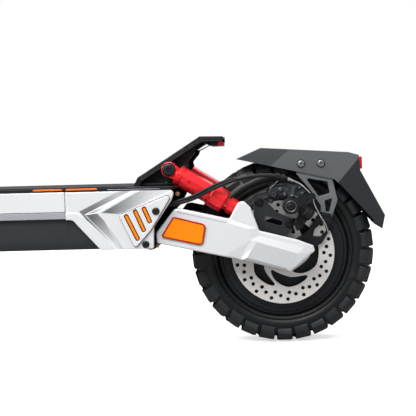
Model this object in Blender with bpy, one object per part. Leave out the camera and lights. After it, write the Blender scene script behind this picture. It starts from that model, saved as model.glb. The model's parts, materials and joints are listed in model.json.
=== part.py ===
"""Electric kick scooter: the whole assembly, one object for each separate piece.

Frame: +X towards the rear, -Y the scooter's left side, +Z up, Z = 0 the ground.
Every number below is in millimetres. Along X it is counted from the rear axle, across
from the centre plane, and up from the ground. `world` turns it into Blender's metres.
"""
import math

import bmesh
import bpy
from mathutils import Matrix, Vector

MM = 0.001

# ---- driving dimensions -------------------------------------------------------------
REAR_AXLE_FROM_MIDDLE = 486.25   # puts the origin at the middle of the scooter's length
WHEELBASE = 985.0
TYRE_RADIUS = 128.0
TYRE_HALF_WIDTH = 40.0
RIM_RADIUS = 89.0
DISC_RADIUS = 70.0
DISC_IN, DISC_OUT = 56.0, 58.0   # the disc's faces, left of the centre plane
AXLE_RADIUS = 6.0
RUNNING_GAP = 0.35
TOUCH_GAP = 0.3                  # between pieces that rest on each other
ROUND = 20                       # sides of an ordinary round piece

DECK_FRONT, DECK_REAR = -705.0, -218.0
DECK_BOTTOM, DECK_TOP = 141.0, 218.0
DECK_HALF_WIDTH = 97.0
PANEL_OUT = 102.0
CHEEK_OUT = 104.0
PLATE_TOP = 222.0
MAT_TOP = 223.4
WALL = 3.0

PIVOT = (-179.0, 147.3)          # swingarm pivot from its own wheel's axle, X and Z
SHOCK_TOP = (-150.0, 243.7)
SHOCK_FOOT = (-50.0, 181.0)
SHOCK_PLANE = 68.0               # how far out each shock's centre plane stands
ARM_IN, ARM_SKIN, ARM_OUT = 70.0, 84.6, 92.0

RAKE = math.radians(14.0)        # the steering axis leans back by this
AXIS_FOOT_X = -1010.0            # where the steering axis meets the ground
FOLD_PIVOT = (-856.8, 478.0)
LATCH_PIVOT = (-927.5, 482.0)
BAR_ALONG_AXIS = 1226.0          # the handlebar's place along the steering axis
BAR_HALF = 305.0
GRIP_IN, GRIP_OUT = 185.0, 308.0
LEVER_PIVOT_Y = 150.0

SILVER, BLACK, RUBBER, STEEL, RED, ORANGE, LAMP_RED, GREY, GLASS = range(9)
FINISHES = {
    SILVER: ("silver_paint", (0.80, 0.80, 0.82), 0.35, 0.6),
    BLACK: ("black_coat", (0.03, 0.032, 0.035), 0.5, 0.0),
    RUBBER: ("rubber", (0.02, 0.02, 0.021), 0.85, 0.0),
    STEEL: ("steel", (0.72, 0.70, 0.67), 0.3, 1.0),
    RED: ("red_anodised", (0.75, 0.02, 0.03), 0.3, 0.8),
    ORANGE: ("orange_reflector", (1.0, 0.32, 0.0), 0.35, 0.0),
    LAMP_RED: ("red_lens", (0.6, 0.0, 0.01), 0.2, 0.0),
    GREY: ("grey_paint", (0.35, 0.36, 0.38), 0.45, 0.4),
    GLASS: ("clear_lens", (0.85, 0.9, 0.95), 0.1, 0.0),
}


# ---- from design numbers to Blender -------------------------------------------------
def world(x, y, z):
    """The Blender point of a place given from the rear axle, the centre plane and the ground."""
    return Vector((x + REAR_AXLE_FROM_MIDDLE, y, z)) * MM


def on_axis(along, forward=0.0):
    """(x, z) of a point on the steering axis, or that far in front of it."""
    x = AXIS_FOOT_X + along * math.sin(RAKE) - forward * math.cos(RAKE)
    z = along * math.cos(RAKE) + forward * math.sin(RAKE)
    return x, z


def mirrored(points, axle_x):
    """An outline drawn for the rear wheel, turned round for a wheel at axle_x."""
    return [(axle_x - p[0], *p[1:]) for p in points]


def clear_scene():
    for thing in list(bpy.data.objects):
        bpy.data.objects.remove(thing)


def material(kind):
    name, colour, roughness, metallic = FINISHES[kind]
    made = bpy.data.materials.get(name)
    if made is None:
        made = bpy.data.materials.new(name)
        made.use_nodes = True
        shader = made.node_tree.nodes["Principled BSDF"]
        shader.inputs["Base Color"].default_value = (*colour, 1.0)
        shader.inputs["Roughness"].default_value = roughness
        shader.inputs["Metallic"].default_value = metallic
    return made


# ---- shapes: each returns a bmesh in metres -----------------------------------------
def filleted(points, steps=3):
    """An outline whose corners given as (x, z, radius) are rounded by an arc."""
    out = []
    for i, point in enumerate(points):
        here = Vector(point[:2])
        if len(point) < 3:
            out.append(here)
            continue
        before = (Vector(points[i - 1][:2]) - here).normalized()
        after = (Vector(points[(i + 1) % len(points)][:2]) - here).normalized()
        half = before.angle(after) / 2
        middle = here + (before + after).normalized() * point[2] / math.sin(half)
        start = here + before * point[2] / math.tan(half) - middle
        end = here + after * point[2] / math.tan(half) - middle
        turn = start.angle_signed(end)
        for k in range(steps + 1):
            out.append(middle + Matrix.Rotation(-turn * k / steps, 2) @ start)
    return [(p.x, p.y) for p in out]


def arc(centre, radius, start, end, steps):
    """Points round a centre, from one angle to another in degrees."""
    angles = [math.radians(start + (end - start) * k / steps) for k in range(steps + 1)]
    return [(centre[0] + radius * math.cos(a), centre[1] + radius * math.sin(a)) for a in angles]


def faced_out(bm):
    bmesh.ops.remove_doubles(bm, verts=bm.verts, dist=1e-6)
    bmesh.ops.recalc_face_normals(bm, faces=bm.faces)
    return bm


def prism(outline, y0, y1):
    """An (x, z) outline made solid between two planes across the scooter."""
    bm = bmesh.new()
    face = bm.faces.new([bm.verts.new(world(x, y0, z)) for x, z in outline])
    side = bmesh.ops.extrude_face_region(bm, geom=[face])
    moved = [v for v in side["geom"] if isinstance(v, bmesh.types.BMVert)]
    bmesh.ops.translate(bm, verts=moved, vec=Vector((0, (y1 - y0) * MM, 0)))
    return faced_out(bm)


def loft(rings):
    """A solid through closed rings of world points that all have the same count."""
    bm = bmesh.new()
    made = [[bm.verts.new(p) for p in ring] for ring in rings]
    count = len(made[0])
    for low, high in zip(made, made[1:]):
        for k in range(count):
            bm.faces.new((low[k], low[(k + 1) % count], high[(k + 1) % count], high[k]))
    bm.faces.new(made[0])
    bm.faces.new(made[-1])
    return faced_out(bm)


def block(x0, x1, y0, y1, z0, z1):
    return prism([(x0, z0), (x1, z0), (x1, z1), (x0, z1)], y0, y1)


def turned(profile, origin, axis, sides=ROUND, flat_down=False):
    """A (radius, along) profile turned about an axis through origin, a world point.

    A profile that starts and ends at radius 0 is solid; any other closes on itself."""
    solid = profile[0][0] == 0
    if solid:
        profile = profile[1:-1]
    bm = bmesh.new()
    axis = Vector(axis).normalized()
    out = Vector((0, 0, -1)) if abs(axis.z) < 0.5 else Vector((1, 0, 0))
    out = (out - axis * out.dot(axis)).normalized()
    side = axis.cross(out)
    shift = 0.5 if flat_down else 0.0
    grow = 1 / math.cos(math.pi / sides) if flat_down else 1.0
    columns = []
    for k in range(sides):
        angle = 2 * math.pi * (k + shift) / sides
        around = out * math.cos(angle) + side * math.sin(angle)
        columns.append([bm.verts.new(origin + (around * r * grow + axis * a) * MM) for r, a in profile])
    last = len(profile) - 1
    for here, there in zip(columns, columns[1:] + columns[:1]):
        for j in range(last if solid else last + 1):
            after = (j + 1) % len(profile)
            bm.faces.new((here[j], here[after], there[after], there[j]))
    if solid:
        bm.faces.new([column[0] for column in columns])
        bm.faces.new([column[last] for column in columns])
    return faced_out(bm)


def rod(start, end, radius, sides=ROUND):
    """A plain round bar between two world points."""
    along = end - start
    bm = bmesh.new()
    turn = along.to_track_quat("Z", "Y").to_matrix().to_4x4()
    place = Matrix.Translation((start + end) / 2) @ turn
    bmesh.ops.create_cone(bm, cap_ends=True, segments=sides, radius1=radius * MM,
                          radius2=radius * MM, depth=along.length, matrix=place)
    return bm


def cross_rod(x, z, y0, y1, radius, sides=ROUND):
    """A plain round bar across the scooter."""
    return rod(world(x, y0, z), world(x, y1, z), radius, sides)


def ring(x, z, y0, y1, outer, inner, sides=ROUND):
    """A tube across the scooter."""
    profile = [(inner, y0), (outer, y0), (outer, y1), (inner, y1)]
    return turned(profile, world(x, 0, z), (0, 1, 0), sides)


def helper(bm):
    mesh = bpy.data.meshes.new("helper")
    bm.to_mesh(mesh)
    bm.free()
    made = bpy.data.objects.new("helper", mesh)
    bpy.context.scene.collection.objects.link(made)
    return made


def combined(base, others, operation):
    """base with every other shape added (UNION) or cut away (DIFFERENCE)."""
    body = helper(base)
    tools = [helper(other) for other in others]
    for tool in tools:
        modifier = body.modifiers.new("join", "BOOLEAN")
        modifier.operation = operation
        modifier.solver = "EXACT"
        modifier.object = tool
    evaluated = body.evaluated_get(bpy.context.evaluated_depsgraph_get())
    bm = bmesh.new()
    bm.from_mesh(evaluated.to_mesh())
    for thing in (body, *tools):
        bpy.data.objects.remove(thing)
    return bm


def joined(base, *others):
    return combined(base, others, "UNION")


def cut(base, *others):
    return combined(base, others, "DIFFERENCE")


# ---- objects and the bodies that carry them -----------------------------------------
BODIES = {}


def body(name, origin, parent=None):
    """An empty on the body's joint axis, which its pieces and the next body hang from."""
    empty = bpy.data.objects.new("body_" + name, None)
    bpy.context.scene.collection.objects.link(empty)
    empty.location = origin
    if parent:
        empty.parent = BODIES[parent]
        empty.location = origin - BODIES[parent].matrix_world.translation
    bpy.context.view_layer.update()
    BODIES[name] = empty
    return empty


def piece(name, bm, kind, on):
    """One separate solid, as an object whose origin is on its body's joint axis."""
    carrier = BODIES[on]
    bm.transform(Matrix.Translation(-carrier.matrix_world.translation))
    mesh = bpy.data.meshes.new(name)
    bm.to_mesh(mesh)
    bm.free()
    mesh.materials.append(material(kind))
    mesh.shade_smooth()
    mesh.set_sharp_from_angle(angle=math.radians(35))
    made = bpy.data.objects.new(name, mesh)
    made.parent = carrier
    bpy.context.scene.collection.objects.link(made)
    return made


def make_bodies():
    front = -WHEELBASE
    body("deck", world(0, 0, 0))
    body("rear_arm", world(PIVOT[0], 0, PIVOT[1]), "deck")
    body("rear_wheel", world(0, 0, TYRE_RADIUS), "rear_arm")
    body("rear_caliper_lever", world(CALIPER_PIN[0], 0, CALIPER_PIN[1]), "rear_arm")
    body("rear_shock_upper", world(SHOCK_TOP[0], 0, SHOCK_TOP[1]), "deck")
    body("rear_shock_lower", world(SHOCK_FOOT[0], 0, SHOCK_FOOT[1]), "rear_shock_upper")
    body("steering", world(AXIS_FOOT_X, 0, 0), "deck")
    body("front_arm", world(front - PIVOT[0], 0, PIVOT[1]), "steering")
    body("front_wheel", world(front, 0, TYRE_RADIUS), "front_arm")
    body("front_caliper_lever", world(front - CALIPER_PIN[0], 0, CALIPER_PIN[1]), "front_arm")
    body("front_shock_upper", world(front - SHOCK_TOP[0], 0, SHOCK_TOP[1]), "steering")
    body("front_shock_lower", world(front - SHOCK_FOOT[0], 0, SHOCK_FOOT[1]), "front_shock_upper")
    body("stem", world(FOLD_PIVOT[0], 0, FOLD_PIVOT[1]), "steering")
    body("fold_lever", world(LATCH_PIVOT[0], 0, LATCH_PIVOT[1]), "steering")
    bar_x, bar_z = on_axis(BAR_ALONG_AXIS)
    for name, side in (("brake_lever_left", -1), ("brake_lever_right", 1)):
        body(name, world(bar_x - LEVER_FORWARD, side * LEVER_PIVOT_Y, bar_z), "stem")
    body("throttle", world(bar_x, 0, bar_z), "stem")
    body("power_button", world(*BUTTON_PLACE), "stem")
    body("kickstand", world(*STAND_PIVOT), "deck")


# ---- deck ---------------------------------------------------------------------------
BEVEL_TOP, BEVEL_IN = 156.0, 88.0   # the tub's lower edge slopes in to this half width
CHEEK_OUTLINE = [(-283, 217.6), (-139, 217.6, 5), (-144.4, 203.8), (-168, 169.5, 6),
                 (-168.8, 141), (-238, 141), (-266, 172, 14), (-274, 181, 8), (-283.5, 181.2)]
COVER_OUTLINE = [(-143, 212.5, 4), (-213, 185.7, 5), (-192.6, 143, 3), (-171.4, 166)]
COVER_SLOTS = (((-202.9, 184.2), (-189.1, 155.3)), ((-191.1, 189.8), (-181.1, 166.2)),
               ((-179.9, 193.6), (-172.8, 177.1)))
COVER_BOLT = (-164.5, 190.2)
KICK_TOP_EDGE = [(-200.5, 222.6), (-194.8, 234), (-186.1, 239.2), (-109.4, 287.7), (-80, 287.8)]
KICK_LIGHT_X = (-92.0, -80.3)


def deck_section(half_width, top, floor, slope_in):
    """The tub's section as (y, z) pairs, walked round."""
    right = [(half_width, top), (half_width, BEVEL_TOP), (slope_in, floor)]
    return right + [(-y, z) for y, z in reversed(right)]


def make_deck():
    rear_cut = [(DECK_REAR, DECK_TOP), (DECK_REAR, DECK_BOTTOM)]
    rings = [[world(x, y, z) for y, z in deck_section(DECK_HALF_WIDTH, DECK_TOP - 2, DECK_BOTTOM, BEVEL_IN)]
             for x in (DECK_FRONT, rear_cut[0][0])]
    hollow = [[world(x, y, z) for y, z in
               deck_section(DECK_HALF_WIDTH - WALL, DECK_TOP + 5, DECK_BOTTOM + WALL, BEVEL_IN - 2)]
              for x in (DECK_FRONT + 8, DECK_REAR - 8)]
    piece("deck_tub", joined(cut(loft(rings), loft(hollow)), stand_bracket()), BLACK, "deck")
    piece("deck_plate", block(DECK_FRONT, -143.5, -100, 100, DECK_TOP + TOUCH_GAP, PLATE_TOP), BLACK, "deck")
    mat = [(DECK_FRONT + 76, PLATE_TOP + TOUCH_GAP), (-205, PLATE_TOP + TOUCH_GAP),
           (-207, MAT_TOP), (DECK_FRONT + 78, MAT_TOP)]
    piece("grip_mat", prism(mat, -92, 92), RUBBER, "deck")
    for side, name in ((-1, "side_panel_left"), (1, "side_panel_right")):
        inner = DECK_HALF_WIDTH + TOUCH_GAP
        section = [(inner, 217.6), (PANEL_OUT, 217.6), (PANEL_OUT, 191.4), (99.6, 190), (99.6, 182.4),
                   (inner, 182.4)]
        ends = [[world(x, side * y, z) for y, z in section] for x in (DECK_FRONT + 4, -284)]
        piece(name, loft(ends), SILVER, "deck")
    piece("battery_pack", block(-680, -330, -84, 84, DECK_BOTTOM + 4, 208), BLACK, "deck")
    piece("motor_controller", block(-318, -236, -70, 70, DECK_BOTTOM + 4, 196), SILVER, "deck")


def stand_directions():
    """The kickstand's leg and pivot axis. The leg splays out to the left."""
    foot = Vector((STAND_PIVOT[0], STAND_PIVOT[1] - STAND_SPLAY, 0.0))
    leg = (foot - Vector(STAND_PIVOT)).normalized()
    return leg, leg.cross(Vector((1, 0, 0))).normalized()


def stand_bracket():
    """Two ears and a pin under the tub, square to the kickstand's slanted pivot axis."""
    leg, axis = stand_directions()
    pivot = world(*STAND_PIVOT)
    forward = Vector((1, 0, 0))
    ears = []
    for side in (-1, 1):
        corners = [(-9, 9), (9, 9), (9, -30), (-9, -30)]
        rings = [[pivot + (forward * a + leg * b + axis * side * c) * MM for a, b in corners] for c in (8.4, 11.6)]
        ears.append(loft(rings))
    pin = rod(pivot - axis * 0.0105, pivot + axis * 0.0105, 3.5, 12)
    above = block(STAND_PIVOT[0] - 20, STAND_PIVOT[0] + 20, -140, 0, DECK_BOTTOM + 1.5, DECK_BOTTOM + 60)
    return cut(joined(ears[0], ears[1], pin), above)


def slot_outline(ends, radius):
    """A bar with round ends between two (x, z) points."""
    (x0, z0), (x1, z1) = ends
    tilt = math.degrees(math.atan2(z1 - z0, x1 - x0))
    outline = arc((x1, z1), radius, tilt - 90, tilt + 90, 6)
    return outline + arc((x0, z0), radius, tilt + 90, tilt + 270, 6)


def make_rear_frame():
    cheeks = [prism(filleted(CHEEK_OUTLINE), side * (DECK_HALF_WIDTH + TOUCH_GAP), side * CHEEK_OUT)
              for side in (-1, 1)]
    wall = block(-214, -200, -100, 100, 144, 216)
    housing = block(-202, PIVOT[0] + 3, -58, 58, 139, 162)
    bushing = cross_rod(*PIVOT, -58, 58, 12)
    frame = joined(wall, *cheeks, housing, bushing)
    frame = cut(frame, cross_rod(*PIVOT, -110, 110, AXLE_RADIUS + RUNNING_GAP))
    piece("rear_frame", frame, SILVER, "deck")
    head = [(0, -107.5), (5.2, -107.5), (5.2, -104.4), (AXLE_RADIUS, -104.4), (AXLE_RADIUS, 104.4),
            (5.2, 104.4), (5.2, 107.5), (0, 107.5)]
    piece("rear_pivot_axle", turned(head, world(PIVOT[0], 0, PIVOT[1]), (0, 1, 0)), BLACK, "deck")
    for side, hand in ((-1, "left"), (1, "right")):
        face, back = CHEEK_OUT + TOUCH_GAP, CHEEK_OUT + 3.3
        slots = [prism(slot_outline(ends, 2.9), side * 100, side * 112) for ends in COVER_SLOTS]
        cover = cut(prism(filleted(COVER_OUTLINE), side * face, side * back), *slots)
        cover = joined(cover, cross_rod(*COVER_BOLT, side * (back - 1), side * (back + 2.4), 5))
        piece("corner_cover_" + hand, cover, SILVER, "deck")


def offset_band(edge, thickness):
    """A strip of even thickness under an open (x, z) edge."""
    lower = []
    for i, (x, z) in enumerate(edge):
        a = Vector(edge[max(i - 1, 0)])
        b = Vector(edge[min(i + 1, len(edge) - 1)])
        along = (b - a).normalized()
        lower.append((x + along.y * thickness, z - along.x * thickness))
    return list(edge) + lower[::-1]


def make_kick_plate():
    strip = prism(offset_band(KICK_TOP_EDGE[2:], 8), -58, 58)
    web_outline = [(-200.5, 222.4), (-194.8, 234), (-186.1, 239), (-118, 282), (-92, 282), (-97, 275),
                   (-104, 277), (-117.8, 265), (-127.4, 254, 4), (-125.2, 247.7), (-142, 228), (-142.3, 222.4)]
    webs = [prism(filleted(web_outline), side * 38, side * 44.5) for side in (-1, 1)]
    foot = block(-200, -143, -52, 52, 222.4, 229)
    heel = prism([(-200.5, 222.4), (-180, 222.4), (-172, 246), (-186.1, 239.2), (-194.8, 234)], -58, 58)
    nose = block(-96, -80, -58, 58, 274.6, 284)
    plate = joined(strip, *webs, foot, heel, nose)
    light_room = block(KICK_LIGHT_X[0] - 0.3, -70, -50, 50, 272, 282.3)
    bolt_hole = cross_rod(*SHOCK_TOP, -60, 60, 5 + RUNNING_GAP)
    windows = [prism([(-120, 274), (-117.6, 270), (-102, 277.4), (-104.2, 281)], -45, 45)]
    piece("kick_plate", cut(plate, light_room, bolt_hole, *windows), BLACK, "deck")
    piece("kick_light", block(*KICK_LIGHT_X, -49.6, 49.6, 274.6, 282), LAMP_RED, "deck")
    bolt = [(0, -82.5), (8.7, -82.5), (8.7, -77.6), (5, -77.6), (5, 77.6), (8.7, 77.6), (8.7, 82.5), (0, 82.5)]
    piece("rear_shock_bolt", turned(bolt, world(SHOCK_TOP[0], 0, SHOCK_TOP[1]), (0, 1, 0)), BLACK, "deck")


# ---- wheels -------------------------------------------------------------------------
def make_wheel(which, axle_x):
    centre = world(axle_x, 0, TYRE_RADIUS)
    on = which + "_wheel"
    bore = AXLE_RADIUS + RUNNING_GAP
    hub = [(bore, -55.7), (24, -55.7), (24, -44), (80, -44), (RIM_RADIUS, -33), (RIM_RADIUS, -29.5), (80, -27),
           (80, 27), (RIM_RADIUS, 29.5), (RIM_RADIUS, 33), (80, 44), (20, 44), (20, 50), (bore, 50)]
    piece(which + "_hub_motor", turned(hub, centre, (0, 1, 0), 28), BLACK, on)
    half = [(80.4, 15), (80.4, 26.4), (90.5, 29), (102, 39), (114, TYRE_HALF_WIDTH), (125, 32),
            (TYRE_RADIUS, 21)]
    inner = [(117, 24), (106, 33), (92, 24)]
    section = [(r, -y) for r, y in half] + [(r, y) for r, y in reversed(half)]
    section += inner[::-1] + [(r, -y) for r, y in inner]
    piece(which + "_tyre", turned(section, centre, (0, 1, 0), 32, flat_down=True), RUBBER, on)
    disc = [(17, -DISC_OUT), (DISC_RADIUS, -DISC_OUT), (DISC_RADIUS, -DISC_IN), (17, -DISC_IN)]
    piece(which + "_brake_disc", turned(disc, centre, (0, 1, 0), 40), STEEL, on)
    end = ARM_OUT - 1.5
    piece(which + "_axle", cross_rod(axle_x, TYRE_RADIUS, -end, end, AXLE_RADIUS), STEEL, which + "_arm")


# ---- swingarms and shocks -----------------------------------------------------------
ARM_OUTLINE = [(-142.5, 191.2, 6), (-167.5, 160, 8), (-166.1, 147.1, 3), (-59, 123), (8, 104.6, 3),
               (41.8, 132, 3), (40, 138.6, 3), (19, 147.1), (-31, 160), (-42, 191, 5), (-51.4, 201, 6),
               (-58.5, 197, 4), (-70, 177, 3), (-135.1, 192.1)]
CORE_OUTLINE = [(-146, 178), (-160, 160), (-160, 149), (-59, 127), (6, 109), (37, 133), (14, 144),
                (-36, 156), (-72, 165), (-134, 181)]
REFLECTOR = [(-143.7, 182, 3), (-101, 170.6, 5), (-105.8, 142.4, 5), (-161, 155, 2.5)]


def make_swingarm(which, place):
    """place turns an outline drawn for the rear wheel into this wheel's place."""
    on = which + "_arm"
    pivot = place([PIVOT])[0]
    foot = place([SHOCK_FOOT])[0]
    axle = place([(0.0, TYRE_RADIUS)])[0]
    shapes = []
    for side in (-1, 1):
        shapes.append(prism(place(filleted(ARM_OUTLINE)), side * ARM_SKIN, side * ARM_OUT))
        shapes.append(prism(place(CORE_OUTLINE), side * ARM_IN, side * (ARM_SKIN + 2)))
        lug = arc(PIVOT, 9.4, 70, 250, 8) + [(-150, 149), (-146, 172)]
        shapes.append(prism(place(lug), side * 62, side * ARM_OUT))
        shapes.append(cross_rod(*foot, side * 61.5, side * (ARM_SKIN + 2), 5))
    bridge = prism(place([(-168, 152), (-146, 150), (-142, 174), (-152, 178), (-168, 166)]), -66, 66)
    arm = joined(bridge, *shapes)
    arm = cut(arm, cross_rod(*pivot, -96, 96, AXLE_RADIUS + RUNNING_GAP),
              cross_rod(*axle, -(ARM_OUT - 1.2), ARM_OUT - 1.2, AXLE_RADIUS + RUNNING_GAP))
    piece(which + "_swingarm", arm, SILVER, on)


def make_arm_reflectors():
    for side, hand in ((-1, "left"), (1, "right")):
        lens = prism(filleted(REFLECTOR), side * (ARM_OUT + TOUCH_GAP), side * (ARM_OUT + 2.6))
        piece("arm_reflector_" + hand, lens, ORANGE, "rear_arm")


def make_shocks(which, place):
    """A pair of telescoping shocks. Distances run along each one from its upper eye."""
    top, foot = place([SHOCK_TOP])[0], place([SHOCK_FOOT])[0]
    for side, hand in ((-1, "left"), (1, "right")):
        start = world(top[0], side * SHOCK_PLANE, top[1])
        end = world(foot[0], side * SHOCK_PLANE, foot[1])
        along = (end - start).normalized()
        length = (end - start).length / MM
        tube = [(0, 13), (14, 13), (14, 64.5), (15.9, 66), (15.9, 86.5), (9.9, 86.5), (9.9, 54), (0, 54)]
        barrel = turned(tube, start, along)
        low, high = side * (SHOCK_PLANE - 7), side * (SHOCK_PLANE + 7)
        eye = cross_rod(*top, low, high, 10.5)
        neck = rod(start, start + along * 16 * MM, 8.5, 12)
        hole = cross_rod(*top, side * 40, side * 100, 5 + RUNNING_GAP)
        piece(f"{which}_shock_tube_{hand}", cut(joined(barrel, eye, neck), hole), RED, which + "_shock_upper")
        shaft = rod(start + along * 70 * MM, end, 9.3, 20)
        eye = cross_rod(*foot, side * (SHOCK_PLANE - 6), side * (SHOCK_PLANE + 6), 9.3)
        hole = cross_rod(*foot, side * 40, side * 100, 5 + 1.1)
        flats = [block(foot[0] - 14, foot[0] + 14, side * a, side * b, foot[1] - 14, foot[1] + 14)
                 for a, b in ((SHOCK_PLANE - 20, SHOCK_PLANE - 6.1), (SHOCK_PLANE + 6.1, SHOCK_PLANE + 20))]
        shaft = cut(joined(shaft, eye), hole, *flats)
        piece(f"{which}_shock_rod_{hand}", shaft, RED, which + "_shock_lower")


# ---- brakes -------------------------------------------------------------------------
CALIPER_PIN = (11.8, 191.4)
CABLE_RADIUS = 3.1
CABLE_ROUTE = [(-188, -84, 199), (-176, -85, 198), (-162, -86, 197.2), (-148, -87, 197.6), (-135, -88, 199),
               (-115, -89, 205.5), (-92, -90, 216.6), (-68, -90, 226.2), (-48, -89, 231.2), (-25, -87, 232.8),
               (-10, -86, 232), (-3.6, -86, 229.8)]
BRACKET = [(-39, 197, 3), (-31, 205.5, 6), (-19, 197, 4), (-8, 183, 3), (4, 178, 3), (15, 172, 3), (12.5, 156, 3),
           (4, 147.5), (-29, 156.5), (-37.5, 168, 3)]
BRACKET_SLOT = ((-20, 173.5), (-3, 168))


def make_brake(which, place):
    """A cable-pulled caliper over the disc. In front, its bracket is part of it."""
    separate = which == "rear"
    on = which + "_arm"
    pin = place([CALIPER_PIN])[0]
    plate = prism(place(filleted(BRACKET)), -69.7 if separate else -71.5, -64.6)
    plate = cut(plate, prism(place(slot_outline(BRACKET_SLOT, 3.4)), -75, -60))
    outline = filleted([(-13, 184), (-4, 177, 5), (18, 176, 6), (33, 196, 8), (26, 214, 6), (-6, 222, 5)])
    outer = prism(place(outline), -83, -70.2)
    bridge = prism(place([(-5, 200.5), (21, 199), (28, 206), (22, 216), (-4, 219)]), -71, -50)
    finger = prism(place([(-4, 182), (20, 181), (27, 200), (22, 216), (-4, 219)]), -53.6, -48)
    pad_seat = prism(place([(-4, 182), (20, 181), (26, 199), (20, 206), (-4, 206)]), -71, -60.4)
    (x0, z0), (x1, z1) = place([(-2, 228.6), (8, 222)])
    stop = rod(world(x0, -86, z0), world(x1, -86, z1), 4, 12)
    stop_foot = prism(place([(1, 214), (9, 214), (9, 226), (1, 226)]), -87.5, -78)
    shapes = [bridge, finger, pad_seat, stop_foot, stop]
    if separate:
        piece("rear_caliper_bracket", plate, BLACK, on)
    else:
        shapes.append(plate)
    caliper = cut(joined(outer, *shapes), cross_rod(*pin, -86, -76, 6.4))
    piece(which + "_caliper", caliper, BLACK, on)
    arm = place([*arc(CALIPER_PIN, 8.5, 105, 290, 8), (38, 199.5), (43, 204), (40, 209)])
    clamp = place([(38.5, 204)])[0]
    lever = joined(prism(arm, -92, -87), cross_rod(*pin, -90, -77, 6), cross_rod(*clamp, -96, -87.5, 4, 12))
    piece(which + "_caliper_lever", lever, BLACK, which + "_caliper_lever")


def make_cable():
    curve = bpy.data.curves.new("rear_brake_cable", "CURVE")
    curve.dimensions = "3D"
    curve.bevel_depth = CABLE_RADIUS * MM
    curve.bevel_resolution = 2
    curve.use_fill_caps = True
    line = curve.splines.new("POLY")
    points = smooth([world(*p) for p in CABLE_ROUTE], 3)
    line.points.add(len(points) - 1)
    carrier = BODIES["rear_arm"]
    for spot, point in zip(line.points, points):
        spot.co = (*(point - carrier.matrix_world.translation), 1)
    curve.materials.append(material(RUBBER))
    made = bpy.data.objects.new("rear_brake_cable", curve)
    made.parent = carrier
    bpy.context.scene.collection.objects.link(made)


def smooth(points, between):
    """A Catmull-Rom curve through the points, with `between` steps from each to the next."""
    padded = [points[0] * 2 - points[1], *points, points[-1] * 2 - points[-2]]
    out = []
    for a, b, c, d in zip(padded, padded[1:], padded[2:], padded[3:]):
        for k in range(between):
            t = k / between
            out.append(0.5 * (2 * b + (c - a) * t + (2 * a - 5 * b + 4 * c - d) * t * t
                              + (3 * b - a - 3 * c + d) * t ** 3))
    return out + [points[-1]]


# ---- fenders ------------------------------------------------------------------------
FENDER_SKIN = [(-61.2, 255.5), (-27, 270), (91.5, 261.4), (106, 257.1), (107.5, 236), (140.5, 174.1),
               (136.4, 155.2)]
FENDER_EDGE = [(81.6, 216), (71.5, 225)]
SHEET = 2.5


def make_fender(name, skin, edge, inward, kind, on):
    """A bent sheet cover: a skin over the tyre with a flange down each side.

    inward holds, for each skin point, the step from its outer side to its inner one."""
    outside = prism(skin + edge, -60, 60)
    inner_skin = [(x + dx, z + dz) for (x, z), (dx, dz) in zip(skin, inward)]
    deep = [(x - (x - 20 - centre_of(edge)) * 0.4, z - 60) for x, z in edge]
    piece(name, cut(outside, prism(inner_skin + deep, -60 + SHEET, 60 - SHEET)), kind, on)


def centre_of(edge):
    return sum(x for x, _ in edge) / len(edge)


def make_rear_fender():
    inward = [(-2, -3.5), (1, -SHEET), (0, -SHEET), (-2.6, -2.2), (-SHEET, 0), (-2.8, 0), (-4, -4)]
    make_fender("rear_fender", FENDER_SKIN, FENDER_EDGE, inward, BLACK, "rear_arm")
    piece("tail_light", block(108.2, 113, -30, 30, 238, 255), LAMP_RED, "rear_arm")
    truss = [(20, 243), (70, 238), (72, 222), (76, 197), (66.5, 172.3), (50.5, 181.5), (52.5, 189), (38.8, 211)]
    window_high = [(33.4, 227.4), (62.6, 222), (65.1, 206.1), (50.4, 202.1)]
    window_low = [(58.2, 196.5), (68.6, 199.3), (64, 181), (59.6, 181)]
    strut = [(66.5, 172.3), (71, 184), (54, 188), (50.5, 181.5), (26, 153), (-7, 138.3),
             *arc((0, TYRE_RADIUS), 12.4, 125, 330, 8), (28, 134)]
    shapes = [block(24, 66, -57.2, 57.2, 256.4, 259)]
    holes = [cross_rod(0, TYRE_RADIUS, -80, 80, AXLE_RADIUS + RUNNING_GAP)]
    for side in (-1, 1):
        shapes.append(prism(truss, side * 53.2, side * 57.2))
        shapes.append(prism([(24, 232), (66, 226), (66, 259), (24, 259)], side * 53.2, side * 57.2))
        shapes.append(prism([(66.5, 173), (51.5, 181.8), (54, 187), (70, 184)], side * 53.2, side * 64))
        shapes.append(prism(strut, side * 60.4, side * 64))
        shapes.append(cross_rod(0, TYRE_RADIUS, side * 60.4, side * (ARM_IN - TOUCH_GAP), 12))
        for window in (window_high, window_low):
            holes.append(prism(window, side * 50, side * 59))
    piece("fender_bracket", cut(joined(*shapes), *holes), GREY, "rear_arm")


# ---- steering, stem and bars --------------------------------------------------------
HEAD_LOW, HEAD_HIGH = 362.0, 446.0     # the head tube's ends along the steering axis
FORK_LEG = [(-966, 340, 4), (-890, 340, 14), (-814, 262, 12), (-788, 170, 10), (-793, 139, 4), (-818, 139, 4),
            (-838, 214, 10), (-868, 254, 14), (-925, 298), (-972, 300, 5)]
LEVER_FORWARD = 30.0
STAND_PIVOT = (-590.0, -72.0, 128.0)
STAND_SPLAY = 62.0
BUTTON_PLACE = (on_axis(BAR_ALONG_AXIS)[0] + 34.0, -20.0, on_axis(BAR_ALONG_AXIS)[1] + 30.0)


def axis_vector():
    return Vector((math.sin(RAKE), 0, math.cos(RAKE)))


def axis_origin(along=0.0):
    x, z = on_axis(along)
    return world(x, 0, z)


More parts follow.
